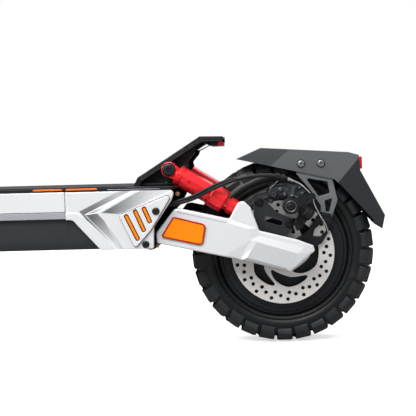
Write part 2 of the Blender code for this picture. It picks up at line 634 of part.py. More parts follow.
def make_neck():
    gooseneck = prism(filleted([(-640, 221), (-703, 221), (-716, 150, 4), (-734, 152, 6), (-768, 268, 20),
                                (-812, 352, 14), (-905, 354), (-892, 416), (-812, 396, 40), (-716, 300, 40)], 4),
                      -38, 38)
    shin = block(-718, DECK_FRONT - TOUCH_GAP, -80, 80, 146, 214)
    tube = turned([(0, HEAD_LOW), (26, HEAD_LOW), (26, HEAD_HIGH), (0, HEAD_HIGH)], axis_origin(), axis_vector())
    bore = turned([(0, 300), (19, 300), (19, 500), (0, 500)], axis_origin(), axis_vector())
    over_deck = block(DECK_FRONT - TOUCH_GAP, DECK_FRONT + 80, -120, 120, 100, PLATE_TOP + TOUCH_GAP)
    neck = cut(joined(gooseneck, shin, tube), bore, over_deck)
    piece("neck", neck, SILVER, "deck")


def make_fork():
    crown = prism(filleted([(-976, 300, 5), (-885, 300, 5), (-880, 340, 8), (-966, 342, 8)]), -97, 97)
    steerer = turned([(0, 335), (17, 335), (17, 462), (0, 462)], axis_origin(), axis_vector())
    race = turned([(0, 345), (25, 345), (25, 361), (0, 361)], axis_origin(), axis_vector())
    legs = [prism(filleted(FORK_LEG), side * 94, side * 102) for side in (-1, 1)]
    front = -WHEELBASE
    top, pivot = (front - SHOCK_TOP[0], SHOCK_TOP[1]), (front - PIVOT[0], PIVOT[1])
    stubs = [cross_rod(*top, side * 60.6, side * 96, 5) for side in (-1, 1)]
    fork = joined(crown, steerer, race, *legs, *stubs)
    fork = cut(fork, cross_rod(*pivot, -110, 110, AXLE_RADIUS + RUNNING_GAP))
    piece("fork", fork, SILVER, "steering")
    head = [(0, -105.5), (10, -105.5), (10, -102.3), (AXLE_RADIUS, -102.3), (AXLE_RADIUS, 102.3), (10, 102.3),
            (10, 105.5), (0, 105.5)]
    piece("front_pivot_axle", turned(head, world(pivot[0], 0, pivot[1]), (0, 1, 0)), BLACK, "steering")
    lamp_x, lamp_z = -978.0, 322.0
    lamp = [(0, 0), (15, 0), (22, 8), (23, 30), (20, 34), (0, 34)]
    piece("headlight", turned(lamp, world(lamp_x, 0, lamp_z), (-1, 0, 0)), BLACK, "steering")


def make_front_fender():
    skin = [(-1094, 243), (-1052, 281), (-1000, 295), (-915, 295), (-864, 254), (-846, 206)]
    edge = [(-872, 226), (-925, 268), (-1000, 270), (-1045, 258)]
    inward = [(3, -3), (1.5, -2.2), (0, -SHEET), (-1.5, -2.2), (-2.4, -1), (-3.5, -2)]
    outside = prism(skin + edge, -51, 51)
    inner = [(x + dx, z + dz) for (x, z), (dx, dz) in zip(skin, inward)] + [(-900, 150), (-1050, 180)]
    boss = block(-955, -905, -20, 20, 293, 299.6)
    hollow = prism(inner, -51 + SHEET, 51 - SHEET)
    piece("front_fender", cut(joined(outside, boss), hollow), BLACK, "steering")


def make_fold_joint():
    """A block on the steerer with two side plates that hold the stem's hinge and its latch."""
    collar = turned([(0, 448), (32, 448), (32, 464), (0, 464)], axis_origin(), axis_vector())
    fold_x, fold_z = FOLD_PIVOT
    latch_x, latch_z = LATCH_PIVOT
    low = on_axis(450)
    plate = [(low[0] - 36, low[1] + 8), (low[0] + 34, low[1] - 8), *arc(FOLD_PIVOT, 12, -40, 120, 6),
             *arc(LATCH_PIVOT, 10, 80, 200, 5)]
    plates = [prism(plate, side * 26, side * 32) for side in (-1, 1)]
    pins = [cross_rod(fold_x, fold_z, -30, 30, 5), cross_rod(latch_x, latch_z, -30, 30, 3.5, 16)]
    base = joined(collar, *plates, *pins)
    base = cut(base, turned([(0, 440), (17 + RUNNING_GAP, 440), (17 + RUNNING_GAP, 462.4), (0, 462.4)],
                            axis_origin(), axis_vector()))
    piece("fold_base", base, BLACK, "steering")
    blade = [(latch_x - 8, latch_z), (latch_x + 8, latch_z), (latch_x + 11, latch_z + 20),
             (latch_x + 24, latch_z + 84), (latch_x + 16, latch_z + 86), (latch_x, latch_z + 24)]
    lever = joined(cross_rod(latch_x, latch_z, -25, 25, 8.5, 20), prism(blade, -16, 16))
    piece("fold_lever", cut(lever, cross_rod(latch_x, latch_z, -40, 40, 4, 16)), RED, "fold_lever")


def make_stem():
    bar_x, bar_z = on_axis(BAR_ALONG_AXIS)
    tube = turned([(0, 465), (16, 465), (24, 480), (24, BAR_ALONG_AXIS - 12), (0, BAR_ALONG_AXIS - 12)],
                  axis_origin(), axis_vector())
    fold_x, fold_z = FOLD_PIVOT
    low, high = on_axis(468), on_axis(520)
    knuckle = prism([(low[0] + 8, low[1]), *arc(FOLD_PIVOT, 10.5, -90, 40, 6), (high[0] + 20, high[1] + 10),
                     (high[0] - 5, high[1])], -25, 25)
    head = turned([(0, BAR_ALONG_AXIS - 30), (25, BAR_ALONG_AXIS - 30), (25, BAR_ALONG_AXIS + 4),
                   (0, BAR_ALONG_AXIS + 4)], axis_origin(), axis_vector())
    clamp = cross_rod(bar_x, bar_z, -28, 28, 22)
    cavity = turned([(0, 490), (20, 490), (20, 1180), (0, 1180)], axis_origin(), axis_vector())
    wire_exit = rod(axis_origin(1140), axis_origin(1140) + Vector((0.05, 0, 0)), 6, 12)
    bar_hole = cross_rod(bar_x, bar_z, -40, 40, 16.2)
    stem = cut(joined(tube, knuckle, head, clamp), cavity, wire_exit, bar_hole,
               cross_rod(fold_x, fold_z, -40, 40, 5 + RUNNING_GAP))
    piece("stem_tube", stem, BLACK, "stem")
    profile = [(0, -BAR_HALF), (11, -BAR_HALF), (11, -135), (15.8, -70), (15.8, 70), (11, 135), (11, BAR_HALF),
               (0, BAR_HALF)]
    lugs = []
    for side in (-1, 1):
        lug = block(bar_x - LEVER_FORWARD - 7, bar_x - 5, side * 141, side * 161, bar_z - 3.4, bar_z + 3.4)
        band = cross_rod(bar_x, bar_z, side * 158, side * 172, 15)
        pin = rod(world(bar_x - LEVER_FORWARD, side * LEVER_PIVOT_Y, bar_z - 9),
                  world(bar_x - LEVER_FORWARD, side * LEVER_PIVOT_Y, bar_z + 9), 3, 12)
        lugs += [lug, band, pin, block(bar_x - 12, bar_x - 2, side * 150, side * 166, bar_z - 3.4, bar_z + 3.4)]
    bar = turned(profile, world(bar_x, 0, bar_z), (0, 1, 0), 20)
    piece("handlebar", joined(bar, *lugs), BLACK, "stem")
    for side, hand in ((-1, "left"), (1, "right")):
        grip = [(11.35, GRIP_IN), (19, GRIP_IN), (19, GRIP_IN + 4), (16, GRIP_IN + 7), (16.6, GRIP_IN + 60),
                (16, GRIP_OUT - 7), (18, GRIP_OUT - 5), (18, GRIP_OUT), (11.35, GRIP_OUT)]
        profile = [(r, side * y) for r, y in grip]
        piece("grip_" + hand, turned(profile, world(bar_x, 0, bar_z), (0, 1, 0), 20), RUBBER, "stem")
    make_lever("left", -1, bar_x, bar_z)
    make_lever("right", 1, bar_x, bar_z)
    case = prism(filleted([(bar_x + 6, bar_z + 24), (bar_x + 52, bar_z + 10), (bar_x + 56, bar_z + 20, 3),
                           (bar_x + 8, bar_z + 38, 3)]), -44, 44)
    foot = block(bar_x - 6, bar_x + 22, -20, 20, bar_z + 22.3, bar_z + 30)
    button_well = rod(world(*BUTTON_PLACE) - face_normal() * 0.004, world(*BUTTON_PLACE) + face_normal() * 0.02,
                      7.4, 20)
    piece("display", cut(joined(case, foot), button_well), BLACK, "stem")
    button = rod(world(*BUTTON_PLACE) - face_normal() * 0.0015, world(*BUTTON_PLACE) + face_normal() * 0.0035,
                 7, 20)
    piece("power_button", button, RED, "power_button")
    make_throttle(bar_x, bar_z)


def face_normal():
    """Which way the display faces: up and back, square to its sloping top."""
    slope = Vector((48, 0, -18))
    return Vector((-slope.z, 0, slope.x)).normalized()


def make_lever(hand, side, bar_x, bar_z):
    """A brake lever's blade, drawn in plan: out from its pivot, then along in front of the grip."""
    x0 = bar_x - LEVER_FORWARD
    plan = [(x0 + 6, 144), (x0 + 8, 156), (x0 - 10, 178), (x0 - 22, 200), (x0 - 22, 270), (x0 - 24, 292),
            (x0 - 34, 292), (x0 - 32, 272), (x0 - 32, 198), (x0 - 20, 166), (x0 - 9, 144)]
    bm = bmesh.new()
    face = bm.faces.new([bm.verts.new(world(x, side * y, bar_z - 8)) for x, y in plan])
    side_faces = bmesh.ops.extrude_face_region(bm, geom=[face])
    moved = [v for v in side_faces["geom"] if isinstance(v, bmesh.types.BMVert)]
    bmesh.ops.translate(bm, verts=moved, vec=Vector((0, 0, 16 * MM)))
    blade = faced_out(bm)
    pivot = world(x0, side * LEVER_PIVOT_Y, bar_z)
    hole = rod(pivot - Vector((0, 0, 0.02)), pivot + Vector((0, 0, 0.02)), 3.5, 16)
    slot = prism([(x0 - 30, bar_z - 3.8), (x0 + 30, bar_z - 3.8), (x0 + 30, bar_z + 3.8), (x0 - 30, bar_z + 3.8)],
                 side * 130, side * 164)
    piece("brake_lever_" + hand, cut(blade, hole, slot), BLACK, "brake_lever_" + hand)


def make_throttle(bar_x, bar_z):
    loop = ring(bar_x, bar_z, 112, 128, 20, 14.6, 20)
    paddle = prism([(bar_x + 10, bar_z - 10), (bar_x + 16, bar_z - 2), (bar_x + 40, bar_z - 26),
                    (bar_x + 34, bar_z - 32)], 113, 137)
    paddle = cut(joined(loop, paddle), cross_rod(bar_x, bar_z, 100, 140, 14.6, 20))
    piece("throttle_paddle", paddle, BLACK, "throttle")


# ---- kickstand ----------------------------------------------------------------------
def make_kickstand():
    """A leg splayed out to the left, which turns about a slanted pivot to lie along the deck."""
    pivot = world(*STAND_PIVOT)
    foot = Vector((pivot.x, pivot.y - STAND_SPLAY * MM, 0.0))
    leg, axis = stand_directions()
    shank = rod(pivot, foot - leg * 0.004, 6, 12)
    hub = rod(pivot - axis * 0.008, pivot + axis * 0.008, 8.5, 16)
    pad = turned([(0, 0), (13, 0), (11, 9), (0, 9)], foot, (0, 0, 1), 16)
    hole = rod(pivot - axis * 0.02, pivot + axis * 0.02, 3.5 + RUNNING_GAP, 12)
    piece("kickstand", cut(joined(shank, hub, pad), hole), BLACK, "kickstand")


def main():
    clear_scene()
    make_bodies()
    make_deck()
    make_rear_frame()
    make_kick_plate()
    make_wheel("rear", 0.0)
    make_wheel("front", -WHEELBASE)
    for which, place in (("rear", list), ("front", lambda points: mirrored(points, -WHEELBASE))):
        make_swingarm(which, place)
        make_shocks(which, place)
        make_brake(which, place)
    make_arm_reflectors()
    make_cable()
    make_rear_fender()
    make_neck()
    make_fork()
    make_front_fender()
    make_fold_joint()
    make_stem()
    make_kickstand()


main()
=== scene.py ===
"""Electric kick scooter: looks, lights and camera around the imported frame."""

import contextlib
import json
import math

import bmesh
import bpy
from mathutils import Matrix, Vector
from mathutils.geometry import tessellate_polygon

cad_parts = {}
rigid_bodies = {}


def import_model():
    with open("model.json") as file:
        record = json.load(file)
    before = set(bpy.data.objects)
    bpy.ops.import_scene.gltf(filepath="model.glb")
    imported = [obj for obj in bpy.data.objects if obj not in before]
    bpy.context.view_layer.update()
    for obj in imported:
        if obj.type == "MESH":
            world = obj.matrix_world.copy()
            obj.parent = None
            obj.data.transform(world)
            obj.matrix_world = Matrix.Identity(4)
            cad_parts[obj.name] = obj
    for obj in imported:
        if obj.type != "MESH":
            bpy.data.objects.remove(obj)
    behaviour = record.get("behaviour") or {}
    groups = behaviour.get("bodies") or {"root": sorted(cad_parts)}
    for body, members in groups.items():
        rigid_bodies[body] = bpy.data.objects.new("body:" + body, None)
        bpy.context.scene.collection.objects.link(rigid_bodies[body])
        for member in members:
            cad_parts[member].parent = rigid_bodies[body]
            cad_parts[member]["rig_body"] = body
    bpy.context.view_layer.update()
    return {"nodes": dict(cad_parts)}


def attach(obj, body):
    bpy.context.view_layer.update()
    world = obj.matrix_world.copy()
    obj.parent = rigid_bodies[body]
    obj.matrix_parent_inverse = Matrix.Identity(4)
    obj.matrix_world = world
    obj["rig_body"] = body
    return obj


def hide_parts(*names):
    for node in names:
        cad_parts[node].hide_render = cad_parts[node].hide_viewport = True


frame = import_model()
nodes = frame["nodes"]

WHEELBASE = 985.0
REAR_AXLE_X = 486.25
AXLE_Z = 128.0
LEFT = (0, -1, 0)
RIGHT = (0, 1, 0)


def place(x, y, z):
    """Millimetres behind the rear axle, to the right and above the ground, as a point of the frame."""
    return Vector(((x + REAR_AXLE_X) / 1000, y / 1000, z / 1000))


def at(points):
    return [place(*p) for p in points]


# ---------------------------------------------------------------- materials


def wire(tree, node, inputs):
    """Sets a node's inputs to values or to other nodes' outputs."""
    for name, value in inputs.items():
        if isinstance(value, bpy.types.NodeSocket):
            tree.links.new(value, node.inputs[name])
        else:
            node.inputs[name].default_value = value


def add(tree, kind, inputs, output=0, **settings):
    """The output of a new node."""
    node = tree.nodes.new("ShaderNode" + kind)
    for name, value in settings.items():
        setattr(node, name, value)
    wire(tree, node, inputs)
    return node.outputs[output]


def material(name):
    """A new material, its node tree, its shader and the object's coordinates."""
    mat = bpy.data.materials.new(name)
    mat.use_nodes = True
    tree = mat.node_tree
    tree.nodes.clear()
    out = tree.nodes.new("ShaderNodeOutputMaterial")
    shader = tree.nodes.new("ShaderNodeBsdfPrincipled")
    tree.links.new(shader.outputs[0], out.inputs[0])
    return mat, tree, shader, add(tree, "TexCoord", {}, "Object")


def noise(tree, coords, scale, detail):
    return add(tree, "TexNoise", {"Vector": coords, "Scale": scale, "Detail": detail, "Roughness": 0.55}, "Fac")


def ramp(tree, value, stops):
    """Colours along a value, as (place, colour)."""
    node = tree.nodes.new("ShaderNodeValToRGB")
    marks = node.color_ramp.elements
    marks[0].position, marks[0].color = stops[0][0], (*stops[0][1], 1)
    marks[1].position, marks[1].color = stops[-1][0], (*stops[-1][1], 1)
    for spot, colour in stops[1:-1]:
        marks.new(spot).color = (*colour, 1)
    tree.links.new(value, node.inputs[0])
    return node.outputs[0]


def ranged(tree, value, low, high):
    limits = {"From Min": 0.3, "From Max": 0.7, "To Min": low, "To Max": high}
    return add(tree, "MapRange", {"Value": value, **limits})


def bumped(tree, height, strength, distance=0.0002):
    return add(tree, "Bump", {"Height": height, "Strength": strength, "Distance": distance})


def shade(colour, gain):
    return tuple(min(1.0, c * gain) for c in colour)


def from_line(tree, coords, centre, scale=1.0):
    """How far each point lies from a line across the frame through centre."""
    shifted = add(tree, "VectorMath", {0: coords, 1: centre}, operation="SUBTRACT")
    flat = add(tree, "VectorMath", {0: shifted, 1: (scale, 0, scale)}, operation="MULTIPLY")
    return add(tree, "VectorMath", {0: flat}, "Value", operation="LENGTH")


def surface(
    name, colour, rough, metal, spread, patch, grain, bump,
    specular=0.5, coat=0.0, coat_rough=0.2, rough_spread=0.06,
):
    """A finish with slow tone changes, fine grain in roughness and a fine bump."""
    mat, tree, shader, coords = material(name)
    slow, fine = noise(tree, coords, patch, 4.0), noise(tree, coords, grain, 2.0)
    tones = [(0.3, shade(colour, 1 - spread)), (0.7, shade(colour, 1 + spread))]
    inputs = {
        "Base Color": ramp(tree, slow, tones),
        "Roughness": ranged(tree, fine, max(0.02, rough - rough_spread), rough + rough_spread),
        "Metallic": metal,
        "Coat Weight": coat,
        "Coat Roughness": coat_rough,
        "Specular IOR Level": specular,
    }
    if bump:
        inputs["Normal"] = bumped(tree, fine, bump)
    wire(tree, shader, inputs)
    return mat


def brushed_ring(name, colour, rough, centre):
    """Steel turned about the line across the frame through centre: fine rings in roughness and bump."""
    mat, tree, shader, coords = material(name)
    rings = noise(tree, add(tree, "CombineXYZ", {0: from_line(tree, coords, centre)}), 2600.0, 3.0)
    tones = [(0.3, shade(colour, 0.93)), (0.7, shade(colour, 1.06))]
    inputs = {
        "Base Color": ramp(tree, noise(tree, coords, 26.0, 3.0), tones),
        "Roughness": ranged(tree, rings, rough - 0.09, rough + 0.09),
        "Normal": bumped(tree, rings, 0.12, 0.0001),
        "Metallic": 0.5,
    }
    wire(tree, shader, inputs)
    return mat


def rubber(name, colour):
    """Tyre rubber: moulded grain, with a little pale dust in patches."""
    mat, tree, shader, coords = material(name)
    fine = noise(tree, coords, 1500.0, 2.0)
    tones = [(0.25, shade(colour, 0.8)), (0.6, colour), (0.78, (0.03, 0.027, 0.024))]
    inputs = {
        "Base Color": ramp(tree, noise(tree, coords, 30.0, 5.0), tones),
        "Roughness": ranged(tree, fine, 0.36, 0.54),
        "Normal": bumped(tree, fine, 0.25),
        "Specular IOR Level": 0.4,
    }
    wire(tree, shader, inputs)
    return mat


def lens(name, colour, cell):
    """Moulded reflector plastic with small prism cells, this many mm wide, under a glossy skin, glowing faintly in
    its own tone as painted light.
    """
    mat, tree, shader, coords = material(name)
    cells = add(tree, "TexVoronoi", {"Vector": coords, "Scale": 1000.0 / cell}, "Distance")
    tone = ramp(tree, cells, [(0.0, shade(colour, 1.05)), (0.9, shade(colour, 0.9))])
    inputs = {
        "Base Color": tone,
        # A faint glow in the lens's own tone is painted light.
        "Emission Color": tone,
        "Emission Strength": 0.18,
        "Normal": bumped(tree, cells, 0.1),
        "Roughness": 0.3,
        "Specular IOR Level": 0.25,
        "Coat Weight": 0.1,
    }
    wire(tree, shader, inputs)
    return mat


def shade_gradient(name, near, far, point, reach):
    """Paint that changes from one tone at a point of the side to another within reach of it: painted shade that
    fades out away from the point.
    """
    mat, tree, shader, coords = material(name)
    distance = from_line(tree, coords, point, 1000 / reach)
    inputs = {
        "Base Color": ramp(tree, distance, [(0.0, near), (1.0, far)]),
        "Roughness": ranged(tree, noise(tree, coords, 2600.0, 2.0), 0.3, 0.42),
        "Metallic": 0.3,
    }
    wire(tree, shader, inputs)
    return mat


# Each plain finish: name, colour, roughness, metal, tone spread, patch and grain scale, bump, specular.
SILVER = surface("silver_paint", (0.84, 0.845, 0.86), 0.34, 0.3, 0.02, 10, 2600, 0.05, coat=0.2)
# Painted shade: darker silver that fades into the plain paint with distance from a point, on the cheek's valley
# and slanted face.
VALLEY_SHADE = shade_gradient("silver_valley_painted_shade", (0.13, 0.13, 0.137), (0.7, 0.7, 0.72), place(-249, 0, 184), 44)
SLANT_SHADE = shade_gradient("silver_slant_painted_shade", (0.17, 0.178, 0.185), (0.8, 0.8, 0.82), place(-226, 0, 190), 64)
# Painted shade: darker copies of the silver paint for the arm's flat field and its downward-facing lower bevel.
PANEL_SHADE = surface("silver_panel", (0.66, 0.665, 0.675), 0.36, 0.3, 0.02, 10, 2600, 0.05, coat=0.1)
FOOT_SHADE = surface("silver_foot_painted_shade", (0.5, 0.5, 0.515), 0.36, 0.3, 0.02, 10, 2600, 0.05, coat=0.1)
LEDGE = surface("ledge_paint", (0.42, 0.42, 0.47), 0.4, 0.4, 0.03, 12, 2400, 0.05, coat=0.1)
BLACK = surface("black_coat", (0.009, 0.0095, 0.011), 0.42, 0, 0.12, 25, 1400, 0.16, 0.28)
DECK_BLACK = surface("deck_coat", (0.028, 0.032, 0.036), 0.4, 0, 0.08, 16, 1300, 0.1, 0.3)
CHARCOAL = surface("charcoal_coat", (0.05, 0.052, 0.058), 0.38, 0.1, 0.06, 14, 1700, 0.1, 0.35)
# Lit and shaded copies of the fender's paint: painted light on its side face, painted shade on its folded front
# and flap.
FENDER_SIDE_LIT = surface("fender_side_painted_light", (0.112, 0.115, 0.124), 0.38, 0.1, 0.05, 14, 1700, 0.1, 0.35)
FENDER_FRONT_SHADE = surface("fender_front", (0.040, 0.043, 0.048), 0.38, 0.1, 0.05, 14, 1700, 0.1, 0.35)
FENDER_FLAP_SHADE = surface("fender_flap_painted_shade", (0.026, 0.028, 0.032), 0.38, 0.1, 0.05, 14, 1700, 0.1, 0.35)
SATIN = surface("satin_black", (0.026, 0.028, 0.031), 0.4, 0, 0.08, 20, 1700, 0.1, 0.3)
BRACKET_GREY = surface("grey_paint", (0.2, 0.205, 0.215), 0.42, 0.5, 0.05, 20, 1800, 0.08)
HUB = surface("hub_casting", (0.0115, 0.013, 0.015), 0.45, 0, 0.1, 20, 1200, 0.12, 0.3)
TYRE = rubber("tyre_rubber", (0.0052, 0.006, 0.007))
# Painted light: the tread blocks take a paler copy of the rubber.
LUG_LIT = rubber("tyre_lugs_painted_light", (0.019, 0.0205, 0.0225))
GRIP = surface("grip_rubber", (0.016, 0.016, 0.018), 0.7, 0, 0.1, 40, 1700, 0.3)
DISC_REAR = brushed_ring("disc_steel", (0.84, 0.81, 0.78), 0.38, place(0, 0, AXLE_Z))
DISC_FRONT = brushed_ring("disc_steel_front", (0.84, 0.81, 0.78), 0.38, place(-WHEELBASE, 0, AXLE_Z))
RED = surface("red_anodised", (0.95, 0.018, 0.026), 0.3, 0.4, 0.02, 20, 2200, 0, 0.5, 0.3, 0.12, 0.01)
RED_DEEP = surface("red_anodised_ring", (0.5, 0.006, 0.01), 0.3, 0.9, 0.05, 20, 2200, 0.05, 0.5, 0.1, 0.15)
ORANGE = lens("orange_reflector", (1.0, 0.22, 0.0), 1.6)
ORANGE_RIM = surface("orange_rim", (0.4, 0.02, 0.004), 0.35, 0, 0.06, 60, 1500, 0.04, 0.25, 0.1)
MAROON = surface("slot_rim", (0.07, 0.009, 0.006), 0.35, 0, 0.08, 60, 1500, 0.05, 0.25, 0.1)
RED_LENS = lens("red_lens", (0.75, 0.01, 0.015), 1.4)
STEEL = surface("screw_steel", (0.32, 0.33, 0.34), 0.32, 0.9, 0.08, 60, 2400, 0.05)
GREY_STEEL = surface("fender_screw", (0.3, 0.305, 0.31), 0.3, 0.8, 0.08, 60, 2400, 0.05)
DARK_STEEL = surface("black_screw", (0.028, 0.029, 0.031), 0.3, 0.5, 0.1, 60, 2200, 0.06, 0.4)
STEEL_DIM = surface("dim_steel", (0.14, 0.143, 0.148), 0.32, 0.7, 0.1, 60, 2400, 0.06)
SOCKET = surface("socket_dark", (0.004, 0.004, 0.005), 0.6, 0, 0.1, 60, 2200, 0.06)
WIRE = surface("wire_steel", (0.62, 0.62, 0.62), 0.3, 0.95, 0.08, 90, 3000, 0.1)
PLASTIC = surface("black_plastic", (0.012, 0.0125, 0.014), 0.38, 0, 0.08, 30, 1500, 0.12, 0.35)
GLASS = surface("screen_glass", (0.006, 0.008, 0.012), 0.08, 0, 0.1, 20, 900, 0, 0.5, 0.8, 0.05)
TAPE = surface("grip_tape", (0.02, 0.02, 0.021), 0.85, 0, 0.15, 60, 1100, 0.9)
ORANGE_PAINT = surface("orange_inlay", (0.85, 0.17, 0.01), 0.5, 0, 0.06, 60, 1500, 0.1)
SILVER_LINE = surface("silver_line", (0.55, 0.55, 0.57), 0.4, 0.6, 0.04, 40, 2000, 0.05)
BRASS = surface("tan_metal", (0.5, 0.36, 0.22), 0.4, 0.8, 0.1, 60, 1800, 0.1)
CASE = surface("controller_case", (0.32, 0.33, 0.34), 0.45, 0.6, 0.06, 30, 1800, 0.1)
BATTERY = surface("battery_wrap", (0.03, 0.06, 0.12), 0.45, 0, 0.06, 30, 1800, 0.08, coat=0.1)
BUTTON_RED = surface("button_red", (0.6, 0.02, 0.02), 0.4, 0, 0.06, 60, 1800, 0.05, coat=0.2)
LAMP_GLASS = surface("lamp_glass", (0.72, 0.75, 0.8), 0.12, 0, 0.04, 60, 1200, 0.05, 0.5, 0.7, 0.05)


# ---------------------------------------------------------------- mesh helpers


def smooth(obj, angle=32.0):
    mesh = obj.data
    mesh.polygons.foreach_set("use_smooth", [True] * len(mesh.polygons))
    mesh.set_sharp_from_angle(angle=math.radians(angle))
    return obj


def linked(name, mesh):
    obj = bpy.data.objects.new(name, mesh)
    bpy.context.scene.collection.objects.link(obj)
    return obj


def from_bmesh(bm, mat, angle=32.0):
    mesh = bpy.data.meshes.new("part")
    bmesh.ops.recalc_face_normals(bm, faces=bm.faces)
    bm.to_mesh(mesh)
    bm.free()
    mesh.materials.append(mat)
    return smooth(linked("part", mesh), angle)


def from_faces(points, faces, mat):
    """A solid of triangulated faces, each a list of points' numbers."""
    bm = bmesh.new()
    verts = [bm.verts.new(p) for p in points]
    for face in faces:
        bm.faces.new([verts[i] for i in face])
    bmesh.ops.triangulate(bm, faces=bm.faces)
    return from_bmesh(bm, mat)


@contextlib.contextmanager
def reshaping(obj, weld=True):
    """A bmesh of the object, written back at the end."""
    bm = bmesh.new()
    bm.from_mesh(obj.data)
    if weld:
        bmesh.ops.remove_doubles(bm, verts=bm.verts, dist=1e-6)
    yield bm
    bm.to_mesh(obj.data)
    bm.free()


def bisect(bm, spot, normal, **options):
    geom = bm.verts[:] + bm.edges[:] + bm.faces[:]
    return bmesh.ops.bisect_plane(bm, geom=geom, plane_co=spot, plane_no=normal, **options)


def arc(centre, radius, start, turn, steps):
    """Points of an arc seen from the side, both ends included."""
    angles = [start + turn * k / steps for k in range(steps + 1)]
    return [centre + radius * Vector((math.cos(a), math.sin(a))) for a in angles]


def filleted(points):
    """Outline corners (x, z) or (x, z, radius) with the radii rounded off."""
    out = []
    for i, (x, z, *radius) in enumerate(points):
        here = Vector((x, z))
        a = (Vector(points[i - 1][:2]) - here).normalized()
        b = (Vector(points[(i + 1) % len(points)][:2]) - here).normalized()
        half = math.acos(max(-1, min(1, a.dot(b)))) / 2
        if not radius or half > math.radians(86):
            out.append(here)
            continue
        reach = radius[0] / math.tan(half)
        centre = here + (a + b).normalized() * (radius[0] / math.sin(half))
        start, end = here + a * reach, here + b * reach
        first = math.atan2(*(start - centre).yx)
        turn = (math.atan2(*(end - centre).yx) - first + math.pi) % (2 * math.pi) - math.pi
        out += arc(centre, radius[0], first, turn, 6)
    return out


def circle(cx, cz, radius, count=24):
    return arc(Vector((cx, cz)), radius, 0.0, 2 * math.pi, count)[:-1]


def slot_outline(a, b, radius):
    """A slot with round ends between two centres."""
    a, b = Vector(a), Vector(b)
    base = math.atan2(*(b - a).yx)
    return arc(b, radius, base - math.pi / 2, math.pi, 8) + arc(a, radius, base + math.pi / 2, math.pi, 8)


def inward(ring, turn):
    """For each corner, the way and reach that moves the outline inwards by one."""
    out = []
    for i, here in enumerate(ring):
        a, c = here - ring[i - 1], ring[(i + 1) % len(ring)] - here
        n1 = Vector((-a.y, a.x)).normalized() * turn
        n2 = Vector((-c.y, c.x)).normalized() * turn
        mid = (n1 + n2).normalized()
        out.append(mid / max(0.4, mid.dot(n1)))
    return out


def area_of(ring):
    return sum(ring[i - 1].x * p.y - p.x * ring[i - 1].y for i, p in enumerate(ring)) / 2


def inset_outline(outline, distance):
    """The outline moved inwards by a distance, corner by corner."""
    ring = [Vector(p[:2]) for p in outline]
    return [p + w * distance for p, w in zip(ring, inward(ring, 1 if area_of(ring) > 0 else -1))]


def bridge(bm, rings, closed=False):
    """Faces between each ring and the next, and a cap at either end unless the rings close on themselves."""
    for low, high in zip(rings, rings[1:]):
        count = max(len(low), len(high))
        for k in range(count):
            n = (k + 1) % count
            corners = (low[k % len(low)], low[n % len(low)], high[n % len(high)], high[k % len(high)])
            corners = list(dict.fromkeys(corners))
            if len(corners) > 2:
                bm.faces.new(corners)
    for ring in () if closed else (rings[0], rings[-1]):
        if len(ring) > 1:
            bm.faces.new(ring)


def axes_of(axis):
    """The axis at unit length and two directions square to it."""
    z = Vector(axis).normalized()
    x = z.orthogonal().normalized()
    return z, x, z.cross(x)


def ring_of(bm, centre, x, y, radii):
    """Points round a centre, one for each radius in mm."""
    turns = [2 * math.pi * k / len(radii) for k in range(len(radii))]
    return [bm.verts.new(centre + (x * math.cos(t) + y * math.sin(t)) * r / 1000) for t, r in zip(turns, radii)]


def plate(outline, y0, y1, mat, bevel=0.0, holes=(), steps=3):
    """A flat plate in the XZ plane from y0 to y1, with rounded edges and holes."""
    loops = [[Vector(p[:2]) for p in ring] for ring in (outline, *holes)]
    loops = [ring if (area_of(ring) > 0) == (i == 0) else ring[::-1] for i, ring in enumerate(loops)]
    low, high = min(y0, y1), max(y0, y1)
    rows = [(0.0, low), (0.0, high)]
    if bevel:
        turns = [math.pi / 2 * k / steps for k in range(steps + 1)]
        near = [(bevel * (1 - math.sin(t)), low + bevel * (1 - math.cos(t))) for t in turns]
        rows = near + [(inset, low + high - y) for inset, y in reversed(near)]
    bm = bmesh.new()
    caps, flat = [[], []], []
    for ring in loops:
        rims = [[p + w * inset for p, w in zip(ring, inward(ring, 1))] for inset, _ in rows]
        grid = [[bm.verts.new(place(p.x, y, p.y)) for p in rim] for rim, (_, y) in zip(rims, rows)]
        caps[0] += grid[0]
        caps[1] += grid[-1]
        flat.append([p.to_3d() for p in rims[0]])
        bridge(bm, grid, True)
    for tri in tessellate_polygon(flat):
        for cap in caps:
            bm.faces.new([cap[i] for i in tri])
    return from_bmesh(bm, mat)


def turned(profile, base, axis, mat, count=48, angle=32.0):
    """A profile of (distance along axis, radius) in mm, turned about axis from the point base."""
    z, x, y = axes_of(axis)
    closed = profile[0] == profile[-1]
    bm = bmesh.new()
    rings = [
        ring_of(bm, base + z * (along / 1000), x, y, [radius] * (count if radius > 0 else 1))
        for along, radius in profile
    ]
    bridge(bm, rings, closed)
    if closed:
        bmesh.ops.remove_doubles(bm, verts=bm.verts, dist=1e-7)
    return from_bmesh(bm, mat, angle)


def spline_points(points, steps):
    """A smooth line through the points."""
    pts = [Vector(p) for p in points]
    pts = [pts[0] * 2 - pts[1], *pts, pts[-1] * 2 - pts[-2]]
    out = []
    for a, b, c, d in zip(pts, pts[1:], pts[2:], pts[3:]):
        for t in (k / steps for k in range(steps)):
            bend = (2 * a - 5 * b + 4 * c - d) * t * t + (3 * b - a - 3 * c + d) * t**3
            out.append(0.5 * (2 * b + (c - a) * t + bend))
    return [*out, pts[-2]]


def tube(points, radius, mat, count=12, steps=8):
    """A round tube along a smooth line through points of the frame."""
    line = spline_points(points, steps)
    bm = bmesh.new()
    rings = []
    side = None
    for i, p in enumerate(line):
        along = (line[min(i + 1, len(line) - 1)] - line[max(i - 1, 0)]).normalized()
        side = (side - along * side.dot(along)).normalized() if side else along.orthogonal().normalized()
        rings.append(ring_of(bm, p, side, along.cross(side), [radius] * count))
    bridge(bm, rings)
    return from_bmesh(bm, mat, 45)


